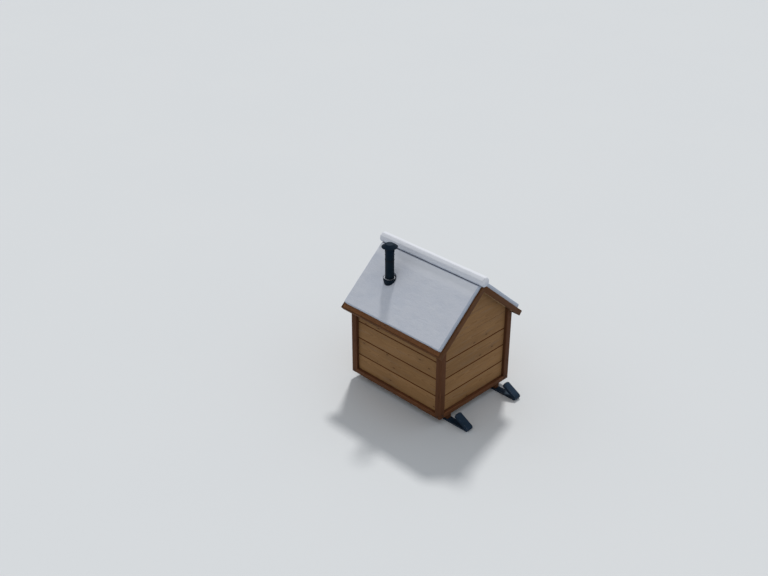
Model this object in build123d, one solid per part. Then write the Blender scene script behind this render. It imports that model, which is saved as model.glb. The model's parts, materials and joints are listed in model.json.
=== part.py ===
from build123d import *
import math
import os

# Ice fishing hut: a plank hut on two sled runners, with a steep gable roof under packed snow
# and a flue pipe. Millimetres, +Z up. +X runs along the ridge to the blank end, -X to the door
# end. -Y is the flue side. Each piece is drawn from the middle of the four posts. The last step
# moves them all, so that the origin is under the middle of the hut and its runners' noses.

os.makedirs("parts", exist_ok=True)

# Timber frame
frame_length = 2370.0
frame_width = 2000.0
post_size = 130.0
sill_clearance = 140.0
sill_height = 92.0
wall_setback = 64.0
wall_thickness = 50.0
eave_rise = 1532.0
plate_height = 70.0
tie_width = 60.0
tie_height = 80.0

# Joints between the wide wall boards
first_groove_rise = 434.0
board_pitch = 377.0
groove_count = 3
groove_width = 14.0
groove_depth = 9.0

# Roof
roof_pitch = 41.36
rafter_depth = 82.0
rafter_width = 45.0
rafter_pairs = 7
deck_thickness = 25.0
eave_overhang = 113.0
rake_overhang = 101.0
barge_thickness = 40.0
fascia_thickness = 28.0
ridge_beam_width = 40.0

# Packed snow on the roof
snow_thickness = 80.0
snow_eave_setback = 108.0
snow_rake_setback = 38.0
snow_eave_bevel = 20.0
snow_rake_bevel = 14.0
roll_radius = 105.0
roll_axis_drop = 43.0
roll_overrun = 30.0
roll_bevel = 28.0
melt_gap = 6.0

# Flue, in the bay between two rafters that flue_bay counts from the door end
flue_bay = 1
flue_shift = -16.0
flue_from_post = 426.0
pipe_radius = 88.5
pipe_wall = 3.0
pipe_stub = 210.0
pipe_rise = 634.0
sheet = 3.0
running_gap = 0.3
deck_hole_gap = 6.0
collar_radius = 128.0
collar_belly_radius = 121.0
collar_rise = 64.0
collar_depth = 145.0
collar_lip = 24.0
collar_foot_margin = 4.0
cap_radius = 156.0
cap_top_radius = 75.0
cap_height = 66.0
cap_lift = 12.0
cap_band_height = 26.0
cap_band_drop = 96.0
cap_strap_angle = 18.0
cap_strap_count = 3

# Runners, whose noses are at the blank end
runner_spacing = 1414.0
runner_width = 150.0
shoe_thickness = 30.0
nose_reach = 504.0
nose_radius = 52.0
return_angle = 28.7
return_thickness = 70.0
return_length = 334.0
return_end_radius = 24.0
skid_beam_width = 100.0
skid_beam_inset = 20.0

# Floor with its fishing well
floor_thickness = 28.0
well_length = 900.0
well_width = 500.0
bearer_width = 45.0
bearer_height = 90.0

# Door
doorway_width = 700.0
doorway_height = 1560.0
jamb_thickness = 32.0
jamb_proud = 12.0
door_thickness = 40.0
door_gap = 4.0
ledge_width = 110.0
ledge_thickness = 22.0
hinge_height = 42.0
hinge_length = 430.0
hinge_thickness = 5.0
hinge_inset = 230.0
knuckle_radius = 9.0
handle_height = 900.0
handle_inset = 80.0
handle_length = 180.0
handle_bar = 16.0
handle_stand = 45.0
handle_plate_width = 40.0
handle_plate_thickness = 4.0

# Derived places
half_length = frame_length / 2
half_width = frame_width / 2
skid_half_length = half_length - skid_beam_inset
sill_top = sill_clearance + sill_height
bay_length = frame_length - 2 * post_size
bay_width = frame_width - 2 * post_size
pitch = math.radians(roof_pitch)
rise = math.tan(pitch)
roof_depth = rafter_depth + deck_thickness
apex = sill_clearance + eave_rise + half_width * rise
slope_length = (half_width + eave_overhang) / math.cos(pitch)
roof_half_length = half_length + rake_overhang
deck_half_length = roof_half_length - barge_thickness
side_wall_face = half_width - wall_setback
side_wall_back = side_wall_face - wall_thickness
end_wall_face = half_length - wall_setback
end_wall_back = end_wall_face - wall_thickness
plate_top = apex - side_wall_back * rise
groove_levels = [
    sill_clearance + first_groove_rise + index * board_pitch for index in range(groove_count)
]
snow_top = roof_depth + snow_thickness
snow_apex = apex + snow_top / math.cos(pitch)
roll_axis = snow_apex - roll_axis_drop
roll_end = roof_half_length + roll_overrun
nose_tip = half_length + nose_reach
origin_x = (max(nose_tip, roll_end) - roll_end) / 2
cutter_length = 4 * snow_apex
rafter_reach = end_wall_face - wall_thickness / 2
rafter_step = 2 * rafter_reach / (rafter_pairs - 1)
flue_x = -rafter_reach + (flue_bay + 0.5) * rafter_step + flue_shift
flue_y = flue_from_post - half_width
deck_hole_radius = pipe_radius + deck_hole_gap
collar_foot_radius = deck_hole_radius + collar_foot_margin
door_face = -end_wall_face
leaf_half = doorway_width / 2 - jamb_thickness - door_gap
leaf_low = sill_top + door_gap
leaf_high = sill_top + doorway_height - jamb_thickness - door_gap


def block(x_low, x_high, y_low, y_high, z_low, z_high):
    """A straight piece of timber or sheet between its six faces."""
    size = (x_high - x_low, y_high - y_low, z_high - z_low)
    middle = ((x_low + x_high) / 2, (y_low + y_high) / 2, (z_low + z_high) / 2)
    return Pos(*middle) * Box(*size)


def across(points, x_low, x_high):
    """A section drawn in Y and Z, run along the ridge from x_low to x_high."""
    face = Plane.YZ.offset(x_low) * make_face(Polyline(points, close=True))
    return extrude(face, x_high - x_low)


def along_slope(side, s, h):
    """The point s down the slope from the apex and h above the roof's underside, as Y and Z."""
    u = s * math.cos(pitch) + h * math.sin(pitch)
    z = apex - s * math.sin(pitch) + h * math.cos(pitch)
    return (side * u, z)


def from_ridge(u, h):
    """How far down the slope a point h above the underside lies, when it is u from the ridge."""
    return (u - h * math.sin(pitch)) / math.cos(pitch)


def slope_section(side, u_start, s_end, low, high):
    """A layer of one roof slope, cut upright at the ridge and square at the eave."""
    return [
        along_slope(side, from_ridge(u_start, low), low),
        along_slope(side, s_end, low),
        along_slope(side, s_end, high),
        along_slope(side, from_ridge(u_start, high), high),
    ]


def under_roof(y_low, y_high, z_low):
    """The outline of an end wall from y_low to y_high, up to the roof's underside."""
    beam = ridge_beam_width / 2
    tops = [y_high]
    if y_low < -beam and y_high > beam:
        tops += [beam, -beam]
    tops.append(y_low)
    points = [(y_low, z_low), (y_high, z_low)]
    points += [(y, apex - abs(y) * rise) for y in tops]
    return points


def box_groove(x_low, x_high, y_low, y_high, level):
    return block(x_low, x_high, y_low, y_high, level - groove_width / 2, level + groove_width / 2)


def side_grooves(side):
    face = side * side_wall_face
    low = min(face, face - side * groove_depth)
    high = max(face, face - side * groove_depth)
    return [box_groove(-half_length, half_length, low, high, level) for level in groove_levels]


def end_grooves(end):
    face = end * end_wall_face
    low = min(face, face - end * groove_depth)
    high = max(face, face - end * groove_depth)
    return [box_groove(low, high, -half_width, half_width, level) for level in groove_levels]


def corner_post(end, side):
    """A post from the sill's underside to the roof, its top cut to the slope."""
    inner = half_width - post_size
    points = [
        (side * inner, sill_clearance),
        (side * half_width, sill_clearance),
        (side * half_width, apex - half_width * rise),
        (side * inner, apex - inner * rise),
    ]
    x_inner = end * (half_length - post_size)
    x_outer = end * half_length
    return across(points, min(x_inner, x_outer), max(x_inner, x_outer))


def side_sill(side):
    outer = side * half_width
    inner = side * (half_width - post_size)
    low, high = sorted((outer, inner))
    return block(-bay_length / 2, bay_length / 2, low, high, sill_clearance, sill_top)


def end_sill(end):
    outer = end * half_length
    inner = end * (half_length - post_size)
    low, high = sorted((outer, inner))
    return block(low, high, -bay_width / 2, bay_width / 2, sill_clearance, sill_top)


def side_wall(side):
    low, high = sorted((side * side_wall_face, side * side_wall_back))
    top = plate_top - plate_height
    wall = block(-bay_length / 2, bay_length / 2, low, high, sill_top, top)
    return wall - side_grooves(side)


def wall_plate(side):
    low, high = sorted((side * side_wall_face, side * side_wall_back))
    bottom = plate_top - plate_height
    return block(-bay_length / 2, bay_length / 2, low, high, bottom, plate_top)


def end_wall(end, y_low, y_high, z_low):
    x_low, x_high = sorted((end * end_wall_face, end * end_wall_back))
    wall = across(under_roof(y_low, y_high, z_low), x_low, x_high)
    return wall - end_grooves(end)


def middle_tie():
    """A tie across the hut, between the two wall plates."""
    reach = side_wall_back
    return block(-tie_width / 2, tie_width / 2, -reach, reach, plate_top - tie_height, plate_top)


def ridge_beam():
    half = ridge_beam_width / 2
    bottom = apex - half * rise
    top = apex + rafter_depth / math.cos(pitch)
    points = [(-half, bottom), (half, bottom), (half, top - half * rise), (0, top)]
    points.append((-half, top - half * rise))
    return across(points, -deck_half_length, deck_half_length)


def rafters(side):
    """One slope's rafters, each notched to sit on the wall plate."""
    s_end = slope_length - fascia_thickness
    section = slope_section(side, ridge_beam_width / 2, s_end, 0, rafter_depth)
    low, high = sorted((side * side_wall_face, side * side_wall_back))
    notch = block(-half_length, half_length, low, high, plate_top - wall_thickness * rise, plate_top)
    pieces = []
    for index in range(rafter_pairs):
        x = -rafter_reach + index * rafter_step
        rafter = across(section, x - rafter_width / 2, x + rafter_width / 2)
        if 0 < index < rafter_pairs - 1:
            rafter = rafter - notch
        pieces.append(rafter)
    return Compound(pieces)


def roof_deck(side):
    section = slope_section(side, 0, slope_length - fascia_thickness, rafter_depth, roof_depth)
    deck = across(section, -deck_half_length, deck_half_length)
    if side < 0:
        deck = deck - Pos(flue_x, flue_y, apex) * Cylinder(deck_hole_radius, cutter_length)
    return deck


def barge_board(end, side):
    section = slope_section(side, 0, slope_length, 0, roof_depth)
    x_low, x_high = sorted((end * deck_half_length, end * roof_half_length))
    return across(section, x_low, x_high)


def fascia(side):
    start = slope_length - fascia_thickness
    section = [
        along_slope(side, start, 0),
        along_slope(side, slope_length, 0),
        along_slope(side, slope_length, roof_depth),
        along_slope(side, start, roof_depth),
    ]
    return across(section, -deck_half_length, deck_half_length)


def roll_cylinder(radius, half):
    return Pos(0, 0, roll_axis) * (Rot(0, 90, 0) * Cylinder(radius, 2 * half))


def snow_blanket(side):
    """Packed snow on one slope, bevelled round its open edges and cut back from the ridge roll."""
    half = roof_half_length - snow_rake_setback
    s_end = slope_length - snow_eave_setback
    section = slope_section(side, 0, s_end, roof_depth, snow_top)
    section[2:3] = [
        along_slope(side, s_end, snow_top - snow_eave_bevel),
        along_slope(side, s_end - snow_eave_bevel, snow_top),
    ]
    slab = across(section, -half, half)
    top_edges = slab.edges().filter_by(lambda edge: abs(abs(edge.center().X) - half) < 1)
    top_edges = [edge for edge in top_edges if on_snow_top(edge)]
    slab = chamfer(top_edges, snow_rake_bevel)
    slab = slab - roll_cylinder(roll_radius + melt_gap, half + snow_rake_setback)
    if side < 0:
        over_rim = collar_top() + snow_apex / 2
        slab = slab - collar_form(running_gap)
        slab = slab - Pos(flue_x, flue_y, over_rim) * Cylinder(collar_radius + running_gap, snow_apex)
    return slab


def on_snow_top(edge):
    """True for an edge that lies in the snow's upper face."""
    middle = edge.center()
    level = snow_apex - abs(middle.Y) * rise
    return abs(middle.Z - level) < 1 and abs(middle.Y) > 1


def snow_roll():
    """The roll of snow along the ridge, sitting on the deck, its bevelled ends past the barge boards."""
    roll = chamfer(roll_cylinder(roll_radius, roll_end).edges(), roll_bevel)
    deck_apex = apex + roof_depth / math.cos(pitch)
    depth = 2 * roll_radius
    wedge = [(0, deck_apex), (depth, deck_apex - depth * rise), (-depth, deck_apex - depth * rise)]
    return roll - across(wedge, -roof_half_length, roof_half_length)


def flue_level(h):
    """The height at the flue's axis of the roof surface that lies h above the underside."""
    return apex + h / math.cos(pitch) - abs(flue_y) * rise


def collar_top():
    return flue_level(snow_top) + collar_rise


def tube(outer, inner, z_low, z_high):
    height = z_high - z_low
    middle = Pos(flue_x, flue_y, (z_low + z_high) / 2)
    return middle * (Cylinder(outer, height) - Cylinder(inner, height))


def flue_turn(outline):
    """A form turned about the flue's axis from the outline of its section."""
    section = Plane.XZ * make_face(outline)
    return Pos(flue_x, flue_y, 0) * revolve(section, Axis.Z)


def flue_pipe():
    top = collar_top() + pipe_rise
    bottom = flue_level(rafter_depth) - pipe_stub
    return tube(pipe_radius, pipe_radius - pipe_wall, bottom, top)


def collar_bowl(outset, top):
    """The curve of the collar's bowl in section, grown by outset, from its foot up to top."""
    belly = (collar_belly_radius + outset, collar_top() - collar_depth / 2)
    foot = (collar_foot_radius + outset, collar_top() - collar_depth)
    return ThreePointArc(foot, belly, (collar_radius + outset, top))


def collar_form(outset):
    """The collar as a filled form, grown by outset, that the snow is packed round."""
    top = collar_top()
    low = flue_level(roof_depth) - 2 * collar_radius
    rim = (collar_radius + outset, top)
    foot = collar_foot_radius + outset
    edge = Polyline(rim, (0, top), (0, low), (foot, low), (foot, top - collar_depth))
    return flue_turn([collar_bowl(outset, top), edge])


def flue_collar():
    """The bowl shaped collar that carries the pipe, its foot cut to sit on the deck."""
    top = collar_top()
    bore = pipe_radius + running_gap
    low = flue_level(roof_depth) - 2 * collar_radius
    foot_level = top - collar_depth
    rim = Polyline(
        (collar_radius, top),
        (bore, top),
        (bore, top - collar_lip),
        (bore + sheet, top - collar_lip),
        (bore + sheet, top - sheet),
        (collar_radius - sheet, top - sheet),
    )
    foot = Polyline(
        (collar_foot_radius - sheet, foot_level),
        (collar_foot_radius - sheet, low),
        (collar_foot_radius, low),
        (collar_foot_radius, foot_level),
    )
    collar = flue_turn([collar_bowl(0, top), rim, collar_bowl(-sheet, top - sheet), foot])
    under = slope_section(-1, 0, slope_length, -4 * collar_radius, roof_depth)
    return collar - across(under, flue_x - 2 * collar_radius, flue_x + 2 * collar_radius)


def rain_cap():
    """A cone over the pipe's mouth, carried by three straps on a band."""
    rim = collar_top() + pipe_rise + cap_lift
    peak = rim + cap_height
    cone = flue_turn(Polyline(
        (0, peak - sheet),
        (cap_top_radius - sheet, peak - sheet),
        (cap_radius - sheet, rim),
        (cap_radius, rim),
        (cap_top_radius, peak),
        (0, peak),
        close=True,
    ))
    inner = pipe_radius + running_gap
    outer = inner + sheet
    band_low = rim - cap_band_drop
    band = tube(outer, inner, band_low, band_low + cap_band_height)
    slope = cap_height / (cap_radius - cap_top_radius)
    strap_section = [
        (inner, band_low),
        (outer, band_low),
        (outer, rim + (cap_radius - sheet - outer) * slope),
        (inner, rim + (cap_radius - sheet - inner) * slope),
    ]
    face = Plane.XZ * make_face(Polyline(strap_section, close=True))
    strap = revolve(face, Axis.Z, cap_strap_angle)
    cap = cone + band
    for index in range(cap_strap_count):
        cap = cap + Pos(flue_x, flue_y, 0) * (Rot(0, 0, index * 360 / cap_strap_count) * strap)
    return cap


def nose_outline():
    """Where a runner's rounded nose starts and ends, and the corners of the leg that turns back."""
    angle = math.radians(return_angle)
    crest = nose_tip + nose_radius * (1 / math.tan(angle / 2) - 1)
    down = (math.cos(angle), -math.sin(angle))
    up = (math.sin(angle), math.cos(angle))
    reach = nose_radius / math.tan(angle / 2)
    tangent_low = (crest - reach, 0)
    tangent_high = (crest - reach * down[0], -reach * down[1])
    centre_x = nose_tip - nose_radius
    tip = (centre_x + nose_radius * math.cos(angle / 2), nose_radius * (1 - math.sin(angle / 2)))
    end_top = (tangent_high[0] - return_length * down[0], tangent_high[1] - return_length * down[1])
    end_low = (end_top[0] - return_thickness * up[0], end_top[1] - return_thickness * up[1])
    run = (end_low[1] - shoe_thickness) / math.sin(angle)
    crotch = (end_low[0] + run * down[0], shoe_thickness)
    return tangent_low, tip, tangent_high, end_top, end_low, crotch


def is_at(vertex, point):
    return math.hypot(vertex.X - point[0], vertex.Y - point[1]) < 1


def runner(side):
    """A flat runner, square at the door end, whose nose turns up and back over itself."""
    tangent_low, tip, tangent_high, end_top, end_low, crotch = nose_outline()
    nose = ThreePointArc(tangent_low, tip, tangent_high)
    tail_top = (-skid_half_length, shoe_thickness)
    tail_foot = (-skid_half_length, 0)
    body = Polyline([tangent_high, end_top, end_low, crotch, tail_top, tail_foot, tangent_low])
    face = make_face([nose, body])
    corners = [v for v in face.vertices() if is_at(v, end_top) or is_at(v, end_low)]
    face = fillet(corners, return_end_radius)
    whole = extrude(Plane.XZ * face, runner_width / 2, both=True)
    return Pos(0, side * runner_spacing / 2, 0) * whole


def skid_beam(side):
    half = skid_half_length
    middle = side * runner_spacing / 2
    half_beam = skid_beam_width / 2
    return block(-half, half, middle - half_beam, middle + half_beam, shoe_thickness, sill_clearance)


def well_frame():
    """Bearers round the fishing well, hung between the two skid beams."""
    low = sill_clearance - bearer_height
    span = (runner_spacing - skid_beam_width) / 2
    cross = block(-well_length / 2 - bearer_width, well_length / 2 + bearer_width,
                  -span, span, low, sill_clearance)
    gap = block(-well_length / 2, well_length / 2, -span, span, low, sill_clearance)
    frame = cross - gap
    for side in (-1, 1):
        near_side, far_side = sorted((side * well_width / 2, side * (well_width / 2 + bearer_width)))
        bearer = block(-well_length / 2, well_length / 2, near_side, far_side, low, sill_clearance)
        frame = frame + bearer
    return frame


def floor():
    top = sill_clearance + floor_thickness
    boards = block(-bay_length / 2, bay_length / 2, -bay_width / 2, bay_width / 2, sill_clearance, top)
    well = block(-well_length / 2, well_length / 2, -well_width / 2, well_width / 2, sill_clearance, top)
    return boards - well


def door_frame():
    """Jambs and head that line the doorway and stand a little proud of the wall."""
    outer = -end_wall_face - jamb_proud
    inner = -end_wall_back
    half = doorway_width / 2
    top = sill_top + doorway_height
    lining = block(outer, inner, -half, half, sill_top, top)
    clear_half = half - jamb_thickness
    return lining - block(outer, inner, -clear_half, clear_half, sill_top, top - jamb_thickness)


def door_leaf():
    """The closed leaf, with a ledge across its back behind each hinge."""
    inner = door_face + door_thickness
    ledge_half = leaf_half - ledge_thickness
    leaf = block(door_face, inner, -leaf_half, leaf_half, leaf_low, leaf_high)
    for level in (leaf_low + hinge_inset, leaf_high - hinge_inset):
        leaf = leaf + block(inner, inner + ledge_thickness, -ledge_half, ledge_half,
                            level - ledge_width / 2, level + ledge_width / 2)
    return leaf


def strap_hinges():
    """Two long strap hinges on the leaf's outer face, knuckles at the jamb."""
    pin = leaf_half + door_gap / 2
    knuckle_x = door_face - jamb_proud - knuckle_radius
    pieces = []
    for level in (leaf_low + hinge_inset, leaf_high - hinge_inset):
        low = level - hinge_height / 2
        high = level + hinge_height / 2
        strap = block(door_face - hinge_thickness, door_face, leaf_half - hinge_length, pin, low, high)
        web = block(knuckle_x, door_face, pin - hinge_thickness, pin, low, high)
        knuckle = Pos(knuckle_x, pin, level) * Cylinder(knuckle_radius, hinge_height)
        pieces.append(strap + web + knuckle)
    return Compound(pieces)


def door_handle():
    """A bow handle on a back plate."""
    y = handle_inset + jamb_thickness - doorway_width / 2
    level = sill_top + handle_height
    plate_half = handle_length / 2 + handle_bar
    face = door_face - handle_plate_thickness
    plate = block(face, door_face, y - handle_plate_width / 2, y + handle_plate_width / 2,
                  level - plate_half, level + plate_half)
    path = FilletPolyline(
        (face, y, level - handle_length / 2),
        (face - handle_stand, y, level - handle_length / 2),
        (face - handle_stand, y, level + handle_length / 2),
        (face, y, level + handle_length / 2),
        radius=handle_bar,
    )
    bow = sweep(Plane(path @ 0, z_dir=path % 0) * Circle(handle_bar / 2), path)
    return plate + bow


nodes = {
    "ridge_beam": ridge_beam(),
    "middle_tie": middle_tie(),
    "snow_ridge_roll": snow_roll(),
    "flue_pipe": flue_pipe(),
    "flue_collar": flue_collar(),
    "rain_cap": rain_cap(),
    "well_frame": well_frame(),
    "floor": floor(),
    "door_frame": door_frame(),
    "door_leaf": door_leaf(),
    "strap_hinges": strap_hinges(),
    "door_handle": door_handle(),
}

ends = {"door_end": -1, "blank_end": 1}
sides = {"flue_side": -1, "plain_side": 1}

for side_name, side in sides.items():
    nodes["sill_" + side_name] = side_sill(side)
    nodes["wall_" + side_name] = side_wall(side)
    nodes["wall_plate_" + side_name] = wall_plate(side)
    nodes["rafters_" + side_name] = rafters(side)
    nodes["roof_deck_" + side_name] = roof_deck(side)
    nodes["eave_fascia_" + side_name] = fascia(side)
    nodes["snow_blanket_" + side_name] = snow_blanket(side)
    nodes["runner_" + side_name] = runner(side)
    nodes["skid_beam_" + side_name] = skid_beam(side)
    for end_name, end in ends.items():
        nodes["corner_post_" + end_name + "_" + side_name] = corner_post(end, side)
        nodes["barge_board_" + end_name + "_" + side_name] = barge_board(end, side)

for end_name, end in ends.items():
    nodes["sill_" + end_name] = end_sill(end)

doorway_edge = doorway_width / 2
doorway_top = sill_top + doorway_height
nodes["wall_blank_end"] = end_wall(1, -bay_width / 2, bay_width / 2, sill_top)
nodes["wall_door_end_flue_side"] = end_wall(-1, -bay_width / 2, -doorway_edge, sill_top)
nodes["wall_door_end_plain_side"] = end_wall(-1, doorway_edge, bay_width / 2, sill_top)
nodes["wall_over_door"] = end_wall(-1, -doorway_edge, doorway_edge, doorway_top)

for name, shape in nodes.items():
    export_step(Pos(-origin_x, 0, 0) * shape, "parts/" + name + ".step")
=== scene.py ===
import json
import math
import random

import bmesh
import bpy
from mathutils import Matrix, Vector, noise
from mathutils.bvhtree import BVHTree
from mathutils.interpolate import poly_3d_calc


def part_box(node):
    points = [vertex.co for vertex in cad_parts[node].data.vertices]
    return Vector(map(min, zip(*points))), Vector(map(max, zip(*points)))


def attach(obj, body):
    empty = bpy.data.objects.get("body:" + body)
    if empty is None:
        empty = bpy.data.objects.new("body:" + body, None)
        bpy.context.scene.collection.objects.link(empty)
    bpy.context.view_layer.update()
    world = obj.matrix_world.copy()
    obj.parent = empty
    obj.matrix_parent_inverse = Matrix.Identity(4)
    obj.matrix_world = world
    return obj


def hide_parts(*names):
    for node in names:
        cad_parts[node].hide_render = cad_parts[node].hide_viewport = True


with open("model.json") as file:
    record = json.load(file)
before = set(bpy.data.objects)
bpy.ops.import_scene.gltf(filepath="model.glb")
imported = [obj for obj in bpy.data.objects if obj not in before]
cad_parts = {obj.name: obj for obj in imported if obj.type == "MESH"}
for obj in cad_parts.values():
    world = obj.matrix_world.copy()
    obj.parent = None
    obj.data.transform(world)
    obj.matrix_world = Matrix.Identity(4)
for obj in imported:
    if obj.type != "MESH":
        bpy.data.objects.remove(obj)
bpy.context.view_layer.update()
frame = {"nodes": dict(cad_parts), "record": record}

# An ice fishing hut on two sled runners: plank walls, a steep roof under packed snow and a black
# flue. Metres, +Z up. +X runs along the ridge to the blank end, -X to the door, -Y to the flue side.
# Points are written from the middle of the hut's four posts, on the ice.

ENDS = {"door_end": -1, "blank_end": 1}
SIDES = {"flue_side": -1, "plain_side": 1}

# Gaps between pieces that all but touch, and between a board's end and its timber
HAIR_GAP = 0.0003
BOARD_END_GAP = 0.001

# Walls: the heights of their joints and gable seams, and the section of a board
BOARD_JOINTS = (0.574, 0.951, 1.328)
JOINT_WIDTH = 0.014
JOINT_DEPTH = 0.009
TONGUE_REACH = 0.016
TONGUE_THICKNESS = 0.016
TONGUE_SLACK = 0.0005
GABLE_SEAMS = (1.705, 2.082)
SEAM_WIDTH = 0.0015
SEAM_DEPTH = 0.002
BOARD_ARRIS = 0.0065
BOARD_POINT_PITCH = 0.075
BOARD_STEPS = 36
# The two lowest boards are painted lighter, against the shade that falls at the foot of the walls
LOW_BOARD_PAINTED_LIGHT = (1.14, 1.07)

# Dirt and painted shade in the joints: where they start and end behind a board's face, and their tone
DIRT_AND_SHADE_START = 0.0003
DIRT_AND_SHADE_END = 0.030
DIRT_AND_SHADE_TONE = 0.18

# Nails and bolts
NAIL_RADIUS = 0.0048
NAIL_RISE = 0.0016
NAIL_SEAT = 0.0002
NAIL_SIDES = 10
NAIL_FROM_JOINT = 0.055
NAIL_FROM_SEAM = 0.050
NAIL_FROM_POST = 0.032
NAIL_FROM_DOORWAY = 0.050
NAIL_FROM_ROOF = 0.130
NAIL_FROM_BARGE_EDGE = 0.028
SIDE_NAILS_TOP = 1.660
SILL_BOLT_DROP = 0.047
SILL_BOLT_STEP = 0.028
SILL_BOLT_RADIUS = 0.011
RUNNER_BOLT_RADIUS = 0.009
RUNNER_BOLTS_X = (-1.0, -0.5, 0.0, 0.5, 1.0)
RUNNER_BOLT_OUT = 0.063
BOLT_HEIGHT = 0.008
WASHER_HEIGHT = 0.002

# Timbers: their growth rings, how far each kind's arrises are eased, and the tones that aren't 1
RING_PITCH = 0.0165
ARRISES = {"corner_post": 0.007, "barge_board": 0.005, "sill": 0.007, "eave_fascia": 0.005,
           "wall_plate": 0.004, "rafters": 0.003, "skid_beam": 0.006, "ridge_beam": 0.003,
           "middle_tie": 0.004, "well_frame": 0.004, "door_frame": 0.004}
# The sills are painted lighter, against the shade on their tops and faces
STAIN_AND_PAINTED_LIGHT_TONES = {"sill": 1.35, "eave_fascia": 0.98}

# Roof
ROOF_PITCH = math.radians(41.36)
SLOPE_RISE = math.tan(ROOF_PITCH)
DECK_THICKNESS = 0.025
DECK_BOARDS = 11
DECK_BOARD_GAP = 0.002
SAWN_ARRIS = 0.002
# The deck boards are painted lighter, against the shade the snow casts on their edges
DECK_PAINTED_LIGHT_TONE = 1.85

# Snow on the slopes
SNOW_DEPTH = 0.080
SNOW_EAVE_SETBACK = 0.108
SNOW_EDGE = 0.019
SNOW_CORNER = 0.032
SNOW_GRID = 0.017
SNOW_EDGE_STEPS = 7
SNOW_WANDER = 0.004
CRUMBLE_REACH = 0.160
# Along the snow's edges a darker bluish rim: icy snow, and painted shade where the rounded edge turns from
# the light
ICE_AND_SHADE_RIM = 0.010
ICE_AND_SHADE_RIM_FADE = 0.014

# Snow on the flue side, which lies in the lee of the ridge: painted light in a strip under the roll, against
# the roll's cast shadow, and painted shade at the roll's foot
LEE_PAINTED_LIGHT_REACH = 0.27
LEE_PAINTED_LIGHT_FADE = 0.15
LEE_PAINTED_SHADE_REACH = 0.045
BANK_HEIGHT = 0.013
BANK_REACH = 0.060

# Snow roll along the ridge, patted to soft flats
ROLL_GAP = 0.002
ROLL_EDGE = 0.030
ROLL_PITCH = 0.022
ROLL_SIDES = 72
ROLL_FLATS = 8
ROLL_FLAT_TURN = math.radians(61)
ROLL_FLATNESS = 0.8
ROLL_FLATS_FADE = 0.25
ROLL_WANDER = 0.0035
ROLL_TONE = 1.48
# Painted light on the roll's top and painted shade at its foot, in the snow's tone
ROLL_TOP_PAINTED_LIGHT = 0.52
ROLL_FOOT_PAINTED_SHADE = 1.1

# Flue: sheet steel, with its edges eased by the width of THIN_EDGE
SHEET = 0.003
THIN_EDGE = 0.001
ROUND = 96
PIPE_RADIUS = 0.0885
PIPE_JOINT_RISE = 0.36
PIPE_SLIP = 0.0012
PIPE_BEAD = 0.0035
BEAD_SINK = 0.0005
LOW_BEAD_RISE = 0.020
TOP_BEAD_DROP = 0.150
SEAM_ANGLE = math.radians(128)
SEAM_HALF = 0.005
SEAM_RISE = 0.0016
SEAM_SINK = 0.001
SEAM_FROM_BEAD = 0.006
SEAM_FROM_TOP = 0.100
FLUE_FIT = 0.0006
DECK_HOLE_GAP = 0.006
COLLAR_RADIUS = 0.128
COLLAR_BELLY_RADIUS = 0.121
COLLAR_FOOT_RADIUS = 0.0985
COLLAR_DEPTH = 0.145
COLLAR_INSET = 0.0012
COLLAR_STEPS = 14
COLLAR_ROLL = 0.005
COLLAR_LIP = 0.004
COLLAR_TRAY_DROP = 0.014
COLLAR_REACH_DOWN = 0.45
TRAY_SNOW_HEIGHT = 0.0175
CAP_RADIUS = 0.156
CAP_TOP_RADIUS = 0.075
CAP_HEIGHT = 0.066
CAP_HEM = 0.0045
CAP_KNEE = 0.006
CAP_BAND_DROP = 0.096
CAP_BAND_HEIGHT = 0.026
CAP_BAND_GAP = 0.0003
CAP_STRAPS = 3
CAP_STRAP_TURN = math.radians(9)
CAP_STRAP_HALF = math.radians(7.5)

# Runners, and the leg that turns back over each nose
RUNNER_ARRIS = 0.012
SHOE_TOP = 0.030
LEG_ANGLE = math.radians(28.7)
LEG_LOW = 0.12
LEG_END_RADIUS = 0.046
LEG_END_STEPS = 8

# Floor
FLOOR_BOARDS = 17
FLOOR_BOARD_GAP = 0.003
WELL_HALF_X = 0.45
WELL_HALF_Y = 0.25

# Door
LEAF_PLANKS = 5
LEAF_THICKNESS = 0.040
LEAF_ARRIS = 0.006
PLANK_GAP = 0.0012
LEDGE_FROM_END = 0.230
LEDGE_HALF = 0.055
LEDGE_THICKNESS = 0.022
LEDGE_INSET = 0.022
HINGE_LENGTH = 0.430
HINGE_HEIGHT = 0.042
HINGE_THICKNESS = 0.005
HINGE_CHAMFER = 0.0015
HINGE_BOLTS = (0.06, 0.16, 0.26)
HINGE_BOLT_RADIUS = 0.009
HINGE_BOLT_RISE = 0.005
KNUCKLE_RADIUS = 0.009
KNUCKLE_OUT = 0.021
HANDLE_BAR = 0.016
HANDLE_PLATE = 0.004
HANDLE_BEND = 0.020
HANDLE_SIDES = 20

# Viewpoint: where the photograph was taken from, how far down it looks and which way it is turned
VIEWPOINT = Vector((11.8575, -13.1632, 12.1840))
VIEW_DOWN = 29.6413
VIEW_TURN = 44.9612

SLOT_OF = {part["node"]: part["material_slot"] for part in frame["record"]["subparts"]}

ridge_low, ridge_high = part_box("ridge_beam")
HUT_MIDDLE = Vector(((ridge_low[0] + ridge_high[0]) / 2, 0, 0))


def corner(node, high):
    """The low or high corner of a node's box, from the middle of the hut."""
    return Vector(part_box(node)[high]) - HUT_MIDDLE


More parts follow.
